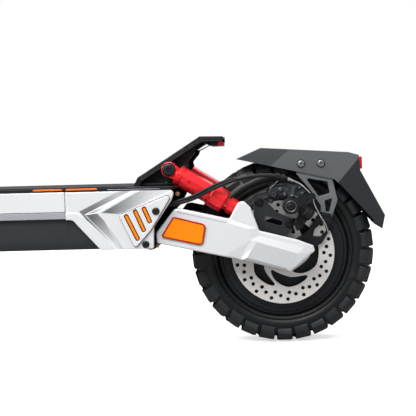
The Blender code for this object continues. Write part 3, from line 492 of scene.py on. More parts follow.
def socket_screw(centre, axis, radius, head, socket=0.5, mat=DARK_STEEL):
    """A button-head screw with a hexagon socket, its head standing on centre along axis."""
    z, x, y = axes_of(axis)
    turns = [math.radians(15 * k % 60 - 30) for k in range(24)]
    hexagon = [radius * socket * math.cos(math.pi / 6) / math.cos(a) for a in turns]
    rows = [(rise, [radius * wide] * 24) for rise, wide in ((0, 1), (0.35, 1), (0.75, 0.9), (0.97, 0.72))]
    bm = bmesh.new()
    rings = [ring_of(bm, centre + z * (head * rise / 1000), x, y, radii) for rise, radii in rows]
    rings += [ring_of(bm, centre + z * (head * rise / 1000), x, y, hexagon) for rise in (1, 0.35)]
    bridge(bm, rings)
    return from_bmesh(bm, mat, 35)


def cut(obj, cutter):
    """Takes the cutter out of an object of one finish."""
    mod = obj.modifiers.new("cut", "BOOLEAN")
    mod.operation = "DIFFERENCE"
    mod.solver = "EXACT"
    mod.object = cutter
    bpy.context.view_layer.update()
    made = bpy.data.meshes.new_from_object(obj.evaluated_get(bpy.context.evaluated_depsgraph_get()))
    mat = obj.data.materials[0]
    obj.modifiers.clear()
    obj.data = made
    made.materials.clear()
    made.materials.append(mat)
    bpy.data.objects.remove(cutter)
    smooth(obj)


def soften(obj, width, angle=28.0, segments=3, facing=0.0):
    """Rounds the edges sharper than angle, for good. With facing, only those between faces turned sideways."""
    with reshaping(obj) as bm:
        limit = math.radians(0.6)
        bmesh.ops.dissolve_limit(
            bm, angle_limit=limit, use_dissolve_boundaries=False, verts=bm.verts, edges=bm.edges
        )
        sharp = [
            edge
            for edge in bm.edges
            if len(edge.link_faces) == 2
            and edge.calc_face_angle(0) > math.radians(angle)
            and all(abs(face.normal.y) >= facing for face in edge.link_faces)
        ]
        bevel(bm, sharp, width, segments)
    return smooth(obj, 30)


def bevel(bm, edges, width, segments):
    if edges:
        bmesh.ops.bevel(
            bm, geom=edges, offset=width / 1000, segments=segments, profile=0.5, affect="EDGES",
            clamp_overlap=True,
        )


def copied(source, name, matrix=Matrix()):
    """A copy of an object's mesh under a new name, moved by a matrix."""
    mesh = source.data.copy()
    mesh.transform(matrix)
    if matrix.is_negative:
        mesh.flip_normals()
    return smooth(linked(name, mesh))


FORWARD = Matrix.Translation((-WHEELBASE / 1000, 0, 0))
TO_RIGHT = Matrix.Diagonal((1, -1, 1, 1))
TO_FRONT = Matrix.Translation((2 * place(-WHEELBASE / 2, 0, 0).x, 0, 0)) @ Matrix.Diagonal((-1, 1, 1, 1))


def cad_copy(node, name, mat):
    """A copy of a CAD node in another finish, without its stored normals."""
    obj = copied(nodes[node], name)
    mesh = obj.data
    mesh.materials.clear()
    mesh.materials.append(mat)
    for stored in [a.name for a in mesh.attributes if a.name in ("custom_normal", "sharp_face", "sharp_edge")]:
        mesh.attributes.remove(mesh.attributes[stored])
    return obj


def join(name, *objs):
    """Several meshes as one piece, each with its own material."""
    chosen = list(objs)
    with bpy.context.temp_override(
        active_object=objs[0], selected_objects=chosen, selected_editable_objects=chosen
    ):
        bpy.ops.object.join()
    objs[0].name = name
    return objs[0]


def fix(obj, body, *stands_for, slot=None):
    """The piece rides a body, and may stand for CAD nodes; slot is not used."""
    weigh = obj.modifiers.new("flat_faces", "WEIGHTED_NORMAL")
    weigh.keep_sharp = True
    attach(obj, body)
    if stands_for:
        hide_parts(*stands_for)


def fix_pair(left, body, node=None, slot=None):
    """Fixes a left piece and its mirror copy. Each may stand for its own side's CAD node."""
    right = copied(left, left.name.replace("left", "right"), TO_RIGHT)
    for piece, side in ((left, "left"), (right, "right")):
        fix(piece, body, *([f"{node}_{side}"] if node else []), slot=slot)


def fix_core(name, node, body, inner, mat, slot=None):
    """Fixes a copy of a CAD node without what lies beyond inner to either side."""
    obj = cad_copy(node, name, mat)
    with reshaping(obj) as bm:
        for side in (-1, 1):
            made = bisect(bm, (0, side * inner / 1000, 0), (0, side, 0), clear_outer=True)
            rim = [edge for edge in made["geom_cut"] if isinstance(edge, bmesh.types.BMEdge)]
            bmesh.ops.holes_fill(bm, edges=rim, sides=0)
    fix(soften(obj, 0.6), body, node, slot=slot)


def tint(obj, mat, test):
    """The faces that pass the test take another finish."""
    obj.data.materials.append(mat)
    index = len(obj.data.materials) - 1
    for face in obj.data.polygons:
        if face.material_index == 0 and test(face):
            face.material_index = index


def inside(ring, point):
    """Whether a point of the frame, seen from the side, lies in a ring of (x, z) corners in mm."""
    x, z = point.x * 1000 - REAR_AXLE_X, point.z * 1000
    odd = False
    for (x0, z0), (x1, z1) in zip(ring[-1:] + ring, ring):
        if (z0 > z) != (z1 > z) and x < (x1 - x0) * (z - z0) / (z1 - z0) + x0:
            odd = not odd
    return odd


def round_axle(radius, degrees):
    """A place round the rear axle as (x, z) in mm."""
    turn = math.radians(degrees)
    return radius * math.cos(turn), AXLE_Z + radius * math.sin(turn)


def screw_ring(count, radius, first, y, axis, *sizes):
    """Screws evenly round the rear axle, the first one at so many degrees."""
    spots = [round_axle(radius, 360 / count * k + first) for k in range(count)]
    return [socket_screw(place(x, y, z), axis, *sizes) for x, z in spots]


# ---------------------------------------------------------------- wheels

KNOB_PITCHES = 30

# The carcass from the left bead over the crown, as (y, radius), with the tread's base at the middle.
CARCASS = [
    (-33.5, 88.6), (-35.6, 90.6), (-37.4, 92.6), (-37.6, 95.0), (-36.2, 96.2), (-37.4, 97.6), (-38.5, 100.6),
    (-38.4, 103.6), (-37.2, 106.4), (-34.6, 110.8), (-31.2, 115.0), (-26.8, 118.4), (-19.6, 120.8), (-10.4, 122.0),
]
LINING = [(33.5, 86.4), (24.0, 84.6), (-24.0, 84.6), (-33.5, 86.4)]

# Across the tread, from the middle to a shoulder: (place, y, radius) of the blocks' tops and of the carcass.
TREAD_TOP = [
    (0.0, 0.0, 127.6), (0.2, 11.0, 127.4), (0.4, 21.0, 126.8), (0.58, 29.0, 125.2), (0.72, 34.4, 122.0),
    (0.86, 37.9, 116.6), (1.0, 39.5, 108.6),
]
TREAD_BASE = [
    (0.0, 0.0, 122.4), (0.2, 10.4, 122.0), (0.4, 19.6, 120.8), (0.58, 26.8, 118.4), (0.72, 31.2, 115.0),
    (0.86, 34.6, 110.8), (1.0, 37.2, 106.4),
]


def across_tread(table, s):
    """The (y, radius) of one of the tread's two arches at a place across it, -1 to 1."""
    for (s0, y0, r0), (s1, y1, r1) in zip(table, table[1:]):
        if abs(s) <= s1:
            t = (abs(s) - s0) / (s1 - s0)
            return math.copysign(y0 + (y1 - y0) * t, s), r0 + (r1 - r0) * t


def tread_point(angle, s, height):
    """A point of the tread: s runs from -1 to 1 across it, height from 0 on the carcass to 1 on the blocks."""
    (y0, r0), (y1, r1) = across_tread(TREAD_BASE, s), across_tread(TREAD_TOP, s)
    y, r = y0 + (y1 - y0) * height, r0 + (r1 - r0) * height
    return Vector((r * math.sin(angle), y, r * math.cos(angle))) / 1000


def add_knob(bm, angle, s0, s1, wide0, wide1, skew, tilt=0.0):
    """One tread block between two places across the tread, its width in degrees at either end."""
    last = 6
    rings = []
    for i in range(last + 1):
        t = i / last
        s, half = s0 + (s1 - s0) * t, math.radians(wide0 + (wide1 - wide0) * t) / 2
        middle = angle + math.radians(skew * t)
        level = 1.0 if 0 < i < last else 0.35 if i == 0 and abs(s0) > 0.9 else 0.85
        top, foot = half - 0.007, half + 0.004
        corners = ((-top, level), (top, level - tilt), (foot, -0.35), (-foot, -0.35))
        rings.append([bm.verts.new(tread_point(middle + turn, s, height)) for turn, height in corners])
    bridge(bm, rings)


def tread_blocks():
    """Shoulder lugs in two lengths, leaning mid blocks and centre blocks."""
    bm = bmesh.new()
    pitch = 2 * math.pi / KNOB_PITCHES
    for k in range(KNOB_PITCHES):
        a = k * pitch
        start, stop, lean = (1.0, 0.5, 2.0) if k % 2 == 0 else (0.93, 0.56, -2.0)
        for side in (-1, 1):
            add_knob(bm, a, side * start, side * stop, 10.2, 10.0, side * 0.4, 0.25)
            add_knob(bm, a + pitch * 0.06, side * 0.45, side * 0.15, 9.6, 8.6, side * 2.0)
        add_knob(bm, a + pitch * 0.1, -0.11, 0.11, 8.6, 8.6, lean)
    bmesh.ops.recalc_face_normals(bm, faces=bm.faces)
    bevel(bm, [edge for edge in bm.edges if edge.calc_face_angle(0) > math.radians(40)], 0.6, 2)
    bmesh.ops.translate(bm, verts=bm.verts, vec=place(0, 0, AXLE_Z))
    # The blocks' paler rubber is painted light.
    return from_bmesh(bm, LUG_LIT, 30)


def make_tyre():
    crown = CARCASS + [(0.0, 122.8)] + [(-y, r) for y, r in reversed(CARCASS)]
    body = turned([*crown, *LINING, crown[0]], place(0, 0, AXLE_Z), RIGHT, TYRE, 120, 40)
    return join("rear_tyre_tread", body, tread_blocks())


# The hub motor: a bare left side plate behind the disc, a rim lip and a ribbed right cover.
RIM = [
    (22.0, 83.2), (31.5, 84.4), (32.6, 87.2), (34.2, 88.5), (37.0, 88.4), (38.4, 87.6), (38.4, 86.0),
    (39.2, 84.6), (41.5, 84.0), (43.4, 82.6), (44.2, 78.2),
]
HUB_PROFILE = [
    (-56.0, 9.0), (-56.0, 16.0), (-50.5, 18.0), (-48.0, 34.0), (-46.2, 40.0), (-46.2, 66.0), (-44.9, 67.2),
    (-44.9, 77.0), *[(-y, r) for y, r in reversed(RIM)], *RIM, (44.9, 70.0), (47.0, 62.0), (49.0, 44.0),
    (50.5, 26.0), (56.0, 22.0), (56.0, 9.0), (-56.0, 9.0),
]


def make_hub():
    parts = [turned(HUB_PROFILE, place(0, 0, AXLE_Z), RIGHT, HUB, 96, 26)]
    parts += screw_ring(5, 73.0, 20, -44.6, LEFT, 3.4, 1.6)
    parts += screw_ring(10, 75.0, 9, 44.4, RIGHT, 3.2, 1.7)
    return join("rear_hub_casting", *parts)


# One window of the disc as (radius, degrees), its outer edge first and then back along its inner edge.
WINDOW = [
    (29.6, -124.5), (31.9, -122.0), (38.5, -109.9), (44.0, -96.1), (48.2, -82.2), (48.5, -66.6), (48.3, -53.4),
    (47.2, -47.2), (45.2, -45.8), (42.6, -49.4), (36.4, -70.4), (31.5, -88.4), (28.6, -109.0), (28.2, -121.0),
]


def swept_window(turn):
    """A crescent between the disc's ring and carrier."""
    ring = [round_axle(radius, degrees + turn) for radius, degrees in WINDOW]
    ring = [(x, 0, z) for x, z in (*ring, ring[0])]
    return [(p.x, p.z) for p in spline_points(ring, 3)[:-1]]


def make_disc():
    holes = [circle(0, AXLE_Z, 9.5, 32)]
    for k in range(18):
        for radius, lead in ((64.3, 0.0), (59.3, -8.8), (55.5, -16.9)):
            holes.append(circle(*round_axle(radius, 20 * k + lead - 5.5), 2.55, 16))
    holes += [swept_window(60 * k) for k in range(6)]
    ring = plate(circle(0, AXLE_Z, 69.8, 144), -58.0, -56.1, DISC_REAR, 0.2, holes, 1)
    return join("rear_disc_drilled", ring, *screw_ring(6, 20.5, 20, -57.9, LEFT, 3.6, 1.9))


for piece, node, slot in (
    (make_tyre(), "tyre", "tyre_rubber"),
    (make_hub(), "hub_motor", "hub_casting"),
    (make_disc(), "brake_disc", "disc_steel"),
):
    twin = copied(piece, piece.name.replace("rear", "front"), FORWARD)
    if node == "brake_disc":
        twin.data.materials[0] = DISC_FRONT
    fix(piece, "rear_wheel", f"rear_{node}", slot=slot)
    fix(twin, "front_wheel", f"front_{node}", slot=slot)


# ---------------------------------------------------------------- rear casting and its covers

CHEEK = [
    (-282.8, 217.4), (-139.5, 217.4, 5), (-144.6, 203.8), (-168.2, 169.6, 6), (-169, 141.2, 2), (-238, 141.2),
    (-266, 172, 14), (-274, 181, 8), (-282.8, 181.2),
]
LIP = [
    (-282.8, 181.2), (-274, 181, 8), (-266, 172, 14), (-238, 141.2), (-216.5, 141.2), (-262, 187.5, 12),
    (-268, 191.0, 10), (-282.8, 191.7),
]

# The cutter for the cheek's valley as (x, z, depth): its floor line, then its two rims above the surface.
VALLEY_CUTTER = [
    (-192, 219.5, 102.3), (-258.5, 187.5, 100.5), (-211, 138.5, 100.9),
    (-213, 219.5, 104.8), (-266.5, 193.5, 104.8), (-222, 138.5, 104.8),
    (-184, 219.5, 104.8), (-237.5, 190.2, 104.8), (-204, 138.5, 104.8),
]
VALLEY_FACES = [
    (3, 4, 1, 0), (4, 5, 2, 1), (0, 1, 7, 6), (1, 2, 8, 7), (3, 6, 7, 4), (4, 7, 8, 5), (3, 0, 6), (5, 8, 2),
]
# Where the valley's walls take painted shade, seen from the side.
HOLLOW = [(-268, 194.5), (-214, 220), (-182, 220), (-235.5, 191.2), (-202, 138), (-224, 138)]

# The cutter for the boss's slanted top face as (x, z, depth): outside the surface, then inside it.
SLANT_CUTTER = [
    (-236.5, 190.0, 105.5), (-181, 219.5, 105.5), (-136, 219.5, 105.5), (-213.5, 187.0, 105.5),
    (-236.0, 189.6, 103.6), (-181, 219.0, 103.6), (-136, 219.0, 101.9), (-213.5, 187.0, 100.4),
]
SLANT_FACES = [(0, 1, 2, 3), (4, 5, 6, 7), (0, 1, 5, 4), (1, 2, 6, 5), (2, 3, 7, 6), (3, 0, 4, 7)]
# Where the slanted face takes painted shade, seen from the side.
UPPER_FACE = [(-238, 190.4), (-183, 221), (-136, 221), (-213.5, 186)]


def make_cheek():
    """The left cheek: a panel, a vee-shaped valley and a raised boss with a slanted top face, the valley's walls
    and the slanted face in darker paint as painted shade.
    """
    cheek = plate(filleted(CHEEK), -104.0, -97.4, SILVER, 1.3)
    for corners, faces in ((VALLEY_CUTTER, VALLEY_FACES), (SLANT_CUTTER, SLANT_FACES)):
        cut(cheek, from_faces([place(x, -y, z) for x, z, y in corners], faces, SILVER))
    # Painted shade: the valley's walls take darker paint that fades out with distance from one point.
    tint(cheek, VALLEY_SHADE, lambda face: -0.9985 < face.normal.y < -0.3 and inside(HOLLOW, face.center))
    # Painted shade: the boss's slanted top face takes darker paint that fades out with distance from one point.
    tint(cheek, SLANT_SHADE, lambda face: -0.9998 < face.normal.y < -0.97 and inside(UPPER_FACE, face.center))
    soften(cheek, 1.1, 9, 3, 0.8)
    return join("rear_cheek_left", cheek, plate(filleted(LIP), -104.5, -99.0, SILVER, 1.4))


COVER = [(-142.6, 212.6, 3), (-213.2, 185.7, 4), (-192.6, 142.6, 3), (-171.4, 166)]
COVER_SLOTS = [
    ((-203.2, 184.4), (-189.1, 155.0)),
    ((-191.2, 190.0), (-180.9, 166.2)),
    ((-179.9, 193.8), (-172.9, 177.2)),
]


def make_cover():
    """The three-cornered cover with its slots, their rims and the orange bars in them."""
    outline = filleted(COVER)
    parts = [
        plate(outline, -107.3, -103.4, SILVER, 0.7, [slot_outline(a, b, 2.95) for a, b in COVER_SLOTS]),
        plate(inset_outline(outline, -0.7), -104.9, -103.4, SOCKET),
    ]
    for a, b in COVER_SLOTS:
        parts.append(plate(slot_outline(a, b, 3.1), -107.0, -104.4, MAROON, 0.3, [slot_outline(a, b, 1.6)]))
        parts.append(plate(slot_outline(a, b, 1.7), -106.6, -104.3, ORANGE, 0.5))
    return join("rear_cover_left", *parts)


# Painted shade: the casting's core, silver paint in truth, is drawn black for the shadowed gap behind the cheeks
# and covers.
fix_core("rear_casting_core", "rear_frame", "deck", 97.5, BLACK, "silver_paint")
fix_pair(make_cheek(), "deck", slot="silver_paint")
fix_pair(make_cover(), "deck", "corner_cover", "silver_paint")
fix_core("rear_pivot_axle_core", "rear_pivot_axle", "deck", 103.6, DARK_STEEL)
for name, axis, out in (("left", LEFT, -1), ("right", RIGHT, 1)):
    bolts = [
        socket_screw(place(-164.5, out * 107.2, 190.2), axis, 5.0, 2.6, 0.42),
        socket_screw(place(-179.1, out * 103.9, 147.3), axis, 5.0, 2.6, 0.42),
        turned([(0, 6.0), (0.5, 6.4), (0.5, 5.0)], place(-179.1, out * 103.8, 147.3), axis, SILVER, 32),
    ]
    fix(join(f"rear_cover_bolts_{name}", *bolts), "deck")


# ---------------------------------------------------------------- swingarms

ARM = [
    (-142.5, 191.6, 7), (-167.8, 160, 8), (-166.3, 147.0, 3), (-59, 122.8), (8, 104.4, 3), (42.0, 131.6, 3),
    (40.2, 138.6, 3), (19, 147.1), (-31, 160.2), (-41.8, 191, 6), (-51.4, 201, 7), (-58.7, 197.4, 4),
    (-70.2, 177, 3), (-135.1, 192.3),
]
ARM_FACE, ARM_BASE = 92.0, 84.8

# The arm's outer face as corners (x, z, depth): a raised field with bevels round it, a valley ahead of it,
# a pointed end, and a horn for the shock behind a bright ridge.
FIELD = ((-35.0, 145.6, 92), (19.5, 128.8, 92), (4.0, 110.0, 92), (-48.2, 125.4, 92))
BAND = ((-31.0, 153.4, 90), (27.5, 137.0, 90))
BROW = ((-28.0, 163.5, 89.3), (34.0, 148.5, 89.2))
TIP = ((46.0, 131.0, 87.6), (8.0, 100.0, 88.9))
VALLEY_LINE = ((-42.5, 148.5, 91.3), (-61.0, 118.0, 88.2))
VALLEY_RIM = ((-62.0, 154.0, 92), (-84.0, 124.0, 92))
RIDGE = ((-73.0, 172.2, 92), (-46.0, 163.0, 92))
HORN = ((-71.5, 177.0, 90.6), (-44.5, 167.0, 90.6), (-36.0, 206.0, 89), (-62.0, 206.0, 89))

# The lower bevel of the field, which takes darker paint as painted shade, and a fine grey line painted along the
# crease at the arm's upper edge as painted shade, as (x, z).
LOWER_BEVEL = [(-48.4, 125.6), (4.4, 110.2), (14, 96), (-66, 110), (-61.5, 118.5)]
CREASE = [(-138.5, 188.0), (-74.0, 172.4), (-74.0, 171.6), (-138.8, 187.2)]


def quad(a, b, c, d):
    return [(a, b, c), (a, c, d)]


def arm_facets():
    left, right, low_right, low_left = FIELD
    facets = quad(left, right, BAND[1], BAND[0]) + quad(BAND[0], BAND[1], BROW[1], BROW[0])
    facets += [(right, TIP[0], BAND[1]), (BAND[1], TIP[0], BROW[1])]
    facets += quad(right, low_right, TIP[1], TIP[0]) + quad(low_right, low_left, VALLEY_LINE[1], TIP[1])
    facets += quad(left, low_left, VALLEY_LINE[1], VALLEY_LINE[0])
    facets += quad(VALLEY_LINE[0], VALLEY_LINE[1], VALLEY_RIM[1], VALLEY_RIM[0])
    facets += [(VALLEY_RIM[0], VALLEY_LINE[0], RIDGE[1]), (VALLEY_LINE[0], left, BAND[0])]
    facets += [(VALLEY_LINE[0], BAND[0], RIDGE[1]), (RIDGE[1], BAND[0], BROW[0]), (RIDGE[1], BROW[0], HORN[1])]
    facets += quad(RIDGE[0], RIDGE[1], HORN[1], HORN[0]) + quad(*HORN)
    return facets + [(HORN[1], BROW[0], HORN[2])]


def depth_at(facets, x, z):
    """The depth of the faceted face at a place seen from the side, flat outside its facets."""
    for a, b, c in facets:
        area = (b[0] - a[0]) * (c[1] - a[1]) - (c[0] - a[0]) * (b[1] - a[1])
        u = ((b[0] - x) * (c[1] - z) - (c[0] - x) * (b[1] - z)) / area
        v = ((c[0] - x) * (a[1] - z) - (a[0] - x) * (c[1] - z)) / area
        if min(u, v, 1 - u - v) > -1e-5:
            return u * a[2] + v * b[2] + (1 - u - v) * c[2]
    return ARM_FACE


def relief(obj, facets):
    """Bends the arm's outer face to facets and scales what lies between it and the base."""
    lines = {tuple(sorted((a[:2], b[:2]))) for t in facets for a, b in zip(t, t[1:] + t[:1])}
    with reshaping(obj, weld=False) as bm:
        for a, b in sorted(lines):
            along = Vector((b[0] - a[0], 0, b[1] - a[1]))
            bisect(bm, place(a[0], 0, a[1]), along.cross(Vector(RIGHT)), dist=1e-7)
        for v in bm.verts:
            out = abs(v.co.y) * 1000
            if out > ARM_BASE:
                depth = depth_at(facets, v.co.x * 1000 - REAR_AXLE_X, v.co.z * 1000)
                out = ARM_BASE + (out - ARM_BASE) * (depth - ARM_BASE) / (ARM_FACE - ARM_BASE)
                v.co.y = math.copysign(out / 1000, v.co.y)


def make_arm_skin():
    """The left skin of the arm, with rounded edges and a faceted face; its flat field and its lower bevel take
    darker paint as painted shade.
    """
    skin = plate(filleted(ARM), -ARM_FACE, -ARM_BASE, SILVER, 2.2, (), 4)
    relief(skin, arm_facets())
    soften(skin, 0.9, 4, 3, 0.93)
    field = [corner[:2] for corner in FIELD]
    # Painted shade: the flat field takes a darker copy of the silver paint.
    tint(skin, PANEL_SHADE, lambda face: face.normal.y < -0.9998 and inside(field, face.center))
    # Painted shade: the downward-facing lower bevel takes a darker paint still.
    tint(
        skin, FOOT_SHADE,
        lambda face: face.normal.z < -0.12 and face.normal.y < -0.2 and inside(LOWER_BEVEL, face.center),
    )
    # The grey strip along the crease is painted shade.
    return join("rear_arm_skin_left", skin, plate(CREASE, -92.12, -91.6, LEDGE))


arm_left = make_arm_skin()
for end, skin in (("rear", arm_left), ("front", copied(arm_left, "front_arm_skin_left", TO_FRONT))):
    fix_core(f"{end}_arm_core", f"{end}_swingarm", f"{end}_arm", 84.9, BLACK, "silver_paint")
    fix_pair(skin, f"{end}_arm", slot="silver_paint")
for end in ("rear", "front"):
    fix_core(f"{end}_axle_core", f"{end}_axle", f"{end}_arm", 88.0, DARK_STEEL)

REFLECTOR = [(-143.9, 182.0, 3.5), (-100.4, 170.4, 6), (-105.4, 142.0, 6), (-161.2, 155.0, 3)]


def make_reflector():
    outline = filleted(REFLECTOR)
    rim = plate(outline, -94.4, -91.2, ORANGE_RIM, 0.6, [inset_outline(outline, 2.0)])
    return join("arm_reflector_lens_left", rim, plate(inset_outline(outline, 2.2), -94.0, -91.2, ORANGE, 0.5))


fix_pair(make_reflector(), "rear_arm", "arm_reflector", "orange_reflector")


# ---------------------------------------------------------------- shocks

# The shock's two eyes as (x, z), how far out it stands, and its parts as (distance from the upper eye, radius).
SHOCK_TOP, SHOCK_FOOT = (-150, 243.7), (-50, 181)
SHOCK_Y = 68.0
SHOCK_TUBE = [
    (9.0, 6.5), (12.0, 8.0), (12.8, 12.6), (13.8, 13.8), (16.2, 14.0), (16.6, 13.4), (17.4, 13.4), (17.8, 14.0),
    (58.0, 14.0), (60.0, 14.0), (60.4, 13.5), (61.2, 13.5), (61.6, 14.0), (65.0, 14.0), (65.6, 15.2),
    (66.6, 15.9), (84.0, 15.9), (85.6, 15.5), (86.4, 14.6), (86.4, 12.2), (54.0, 12.2),
]
SHOCK_ROD = [
    (71.0, 9.2), (92.0, 9.2), (92.0, 10.6), (93.0, 11.6), (103.0, 11.6), (104.0, 11.0), (104.0, 9.2), (112.0, 8.6),
]
SHOCK_RING = [(0, 14.15), (0.5, 14.3), (1.0, 14.15), (1.0, 13.0), (0, 13.0), (0, 14.15)]
SHOCK_HEAD = place(SHOCK_TOP[0], -SHOCK_Y, SHOCK_TOP[1])
SHOCK_WAY = (place(SHOCK_FOOT[0], -SHOCK_Y, SHOCK_FOOT[1]) - SHOCK_HEAD).normalized()


def shock_eye(spot, radius, hole, mat, rounding):
    return plate(circle(*spot, radius[0], radius[1]), -75.0, -61.0, mat, rounding, [circle(*spot, *hole)])


def make_shock_tube():
    neck = [
        (SHOCK_TOP[0] + SHOCK_WAY.x * d - SHOCK_WAY.z * w, SHOCK_TOP[1] + SHOCK_WAY.z * d + SHOCK_WAY.x * w)
        for d, w in ((3, 9.6), (13.5, 8.2), (13.5, -8.2), (3, -9.6))
    ]
    valve = SHOCK_HEAD + SHOCK_WAY * 0.030 + Vector((0, -0.0136, 0))
    return join(
        "rear_shock_can_left",
        turned(SHOCK_TUBE, SHOCK_HEAD, SHOCK_WAY, RED, 56, 24),
        shock_eye(SHOCK_TOP, (10.4, 40), (5.0, 24), RED, 1.0),
        plate(neck, -74.0, -62.0, RED, 1.0),
        *[turned(SHOCK_RING, SHOCK_HEAD + SHOCK_WAY * d / 1000, SHOCK_WAY, RED_DEEP, 48) for d in (19.5, 62.6)],
        turned([(0, 2.4), (2.0, 2.4), (2.4, 2.0), (2.4, 0)], valve, LEFT, RED, 20),
    )


def make_shock_rod():
    return join(
        "rear_shock_collar_left",
        turned(SHOCK_ROD, SHOCK_HEAD, SHOCK_WAY, RED, 56, 24),
        turned([(103.0, 9.8), (104, 10.4), (110.0, 10.2), (110.6, 8.0)], SHOCK_HEAD, SHOCK_WAY, BLACK, 40),
        shock_eye(SHOCK_FOOT, (8.8, 36), (4.4, 20), BLACK, 0.8),
        turned([(72, 8.9), (98, 8.9)], SHOCK_HEAD, SHOCK_WAY, STEEL, 32),
    )


shock = [(make_shock_tube(), "upper", "tube"), (make_shock_rod(), "lower", "rod")]
for end in ("rear", "front"):
    for part, body, node in shock:
        near = part if end == "rear" else copied(part, part.name.replace("rear", "front"), TO_FRONT)
        fix_pair(near, f"{end}_shock_{body}", f"{end}_shock_{node}", "red_anodised")

eye_bolts = []
for axis, out in ((LEFT, -1), (RIGHT, 1)):
    spot = place(SHOCK_TOP[0], out * 75.4, SHOCK_TOP[1])
    eye_bolts.append(socket_screw(spot, axis, 8.6, 3.2, 0.42))
    eye_bolts.append(turned([(0, 9.2), (0.7, 9.2), (0.7, 8.2)], spot, axis, DARK_STEEL, 40))
fix(join("rear_shock_eye_bolts", *eye_bolts), "deck")
fix_core("rear_shock_bolt_core", "rear_shock_bolt", "deck", 75.2, DARK_STEEL)


# ---------------------------------------------------------------- deck trim and kick plate


def side_trim():
    """The left side's lower ledge, its shadow line, a seam and the inlays of the deck's edge."""
    hairline = [(-228, 219.2), (-160, 218.9), (-160, 219.5), (-228, 220.0)]
    parts = [
        plate([(-698, 182.6), (-283.6, 182.6), (-283.6, 191.0), (-698, 191.0)], -102.7, -101.6, LEDGE, 0.4),
        plate([(-698, 191.1), (-283.6, 191.1), (-283.6, 191.9), (-698, 191.9)], -102.15, -101.6, SOCKET),
        plate([(-281.4, 157), (-280.8, 157), (-280.8, 181), (-281.4, 181)], -97.25, -96.8, SOCKET),
        plate(hairline, -100.5, -99.4, SILVER_LINE),
    ]
    for x0, x1 in ((-326, -287), (-283, -241)):
        bar = [(x0, 219.7), (x1, 219.9), (x1 - 1.5, 222.0), (x0 + 1.5, 221.9)]
        parts.append(plate(bar, -100.7, -99.4, ORANGE_PAINT, 0.3))
    return join("deck_trim_left", *parts)


KICK_EDGE = [(-200.5, 222.6), (-194.8, 234), (-186.1, 239.2), (-109.4, 287.7), (-80, 287.8)]
KICK_WEB = [
    (-199, 223.2), (-142.5, 223.2), (-141.2, 229), (-126.0, 247.0), (-127.6, 253.6), (-118.4, 264.6),
    (-117.6, 270.1), (-101.9, 277.4), (-97.6, 275.0), (-80.2, 274.9), (-80.2, 285), (-108, 285), (-184, 237),
]
NEAR_WINDOW = [(-120.4, 273.4), (-117.2, 269.6), (-102.4, 277.0), (-104.6, 281.0)]
FAR_WINDOW = [(-127.0, 274.5), (-124.2, 270.3), *NEAR_WINDOW[1:], (-112, 282.4)]
GUSSET = [(-150, 236), (-131, 250), (-126.5, 247), (-141, 229.5)]
FOOT_RIB = [(-196, 224), (-190, 234), (-187.4, 236.4), (-192.5, 224)]
KICK_FOOT = [(-199, 222.7), (-142.6, 222.7), (-142.6, 225.4), (-199, 225.4)]
LIGHT_BODY = [(-97, 274.9), (-86.4, 274.9), (-86.4, 281.4), (-97, 281.4)]
LIGHT_LENS = [(-86.2, 275.2), (-80.6, 275.2, 1), (-80.6, 280.6, 1), (-86.2, 280.6)]


def below_edge(distance):
    """The kick plate's upper edge moved below itself by a distance."""
    points = [Vector(p) for p in KICK_EDGE]
    ways = [(b - a).normalized() for a, b in zip(points, points[1:])]
    ways = [Vector((way.y, -way.x)) for way in ways]
    out = []
    for here, before, after in zip(points, ways[:1] + ways, ways + ways[-1:]):
        mid = (before + after).normalized()
        out.append(here + mid * distance / max(0.4, mid.dot(before)))
    return out


def narrow_end(obj):
    """Towards its rear end the footrest narrows in plan."""
    start, length = -109.0, 29.0
    for v in obj.data.vertices:
        past = v.co.x * 1000 - REAR_AXLE_X - start
        if past > 0:
            v.co.y *= 1 - 0.4 * past / length
    return obj


def make_kick_plate():
    """The footrest: a folded plate with ribbed side edges on two webs, its gussets and its windows."""
    top = [Vector(p) for p in KICK_EDGE]
    parts = [
        plate(top + below_edge(3.0)[::-1], -56.6, 56.6, CHARCOAL, 0.8),
        plate(KICK_FOOT, -52.0, 52.0, BLACK, 0.6),
    ]
    for side, window in ((-1, NEAR_WINDOW), (1, FAR_WINDOW)):
        parts += [
            plate(top + below_edge(7.6)[::-1], side * 58.0, side * 56.4, BLACK, 0.5),
            plate(KICK_WEB, side * 38.2, side * 44.4, BLACK, 0.4, [window]),
            plate(window, side * 43.6, side * 45.2, CHARCOAL, 0.3, [inset_outline(window, 0.8)]),
            plate(GUSSET, side * 44.0, side * 51.5, BLACK, 0.6),
            plate(FOOT_RIB, side * 44.0, side * 56.0, BLACK, 0.5),
        ]
        for down in (1.2, 3.4, 5.6):
            rib = below_edge(down)[1:] + below_edge(down + 1.0)[:0:-1]
            parts.append(plate(rib, side * 58.7, side * 57.9, CHARCOAL, 0.25))
        for x in (-186, -156):
            parts.append(socket_screw(place(x, side * 48.2, 225.2), (0, 0, 1), 3.4, 2.2))
    return narrow_end(join("kick_rest", *parts))


def make_kick_light():
    body = plate(LIGHT_BODY, -50, 50, BLACK, 0.5)
    return narrow_end(join("kick_light_lens", body, plate(filleted(LIGHT_LENS), -49, 49, RED_LENS, 0.5)))


fix_pair(side_trim(), "deck")
fix(make_kick_plate(), "deck", "kick_plate", slot="black_coat")
fix(make_kick_light(), "deck", "kick_light", slot="red_lens")


# ---------------------------------------------------------------- fender

# Each crease's upper and lower end, which way the folded part lies, how much it narrows per length, and the darker
# paint of the folded part, which is painted shade.
FENDER_CREASES = [
    ((12.0, 267.2), (-14.5, 244.7), -1, 0.16, FENDER_FRONT_SHADE),
    ((109.8, 258.1), (79.6, 222.8), 1, 0.1, FENDER_FLAP_SHADE),
]


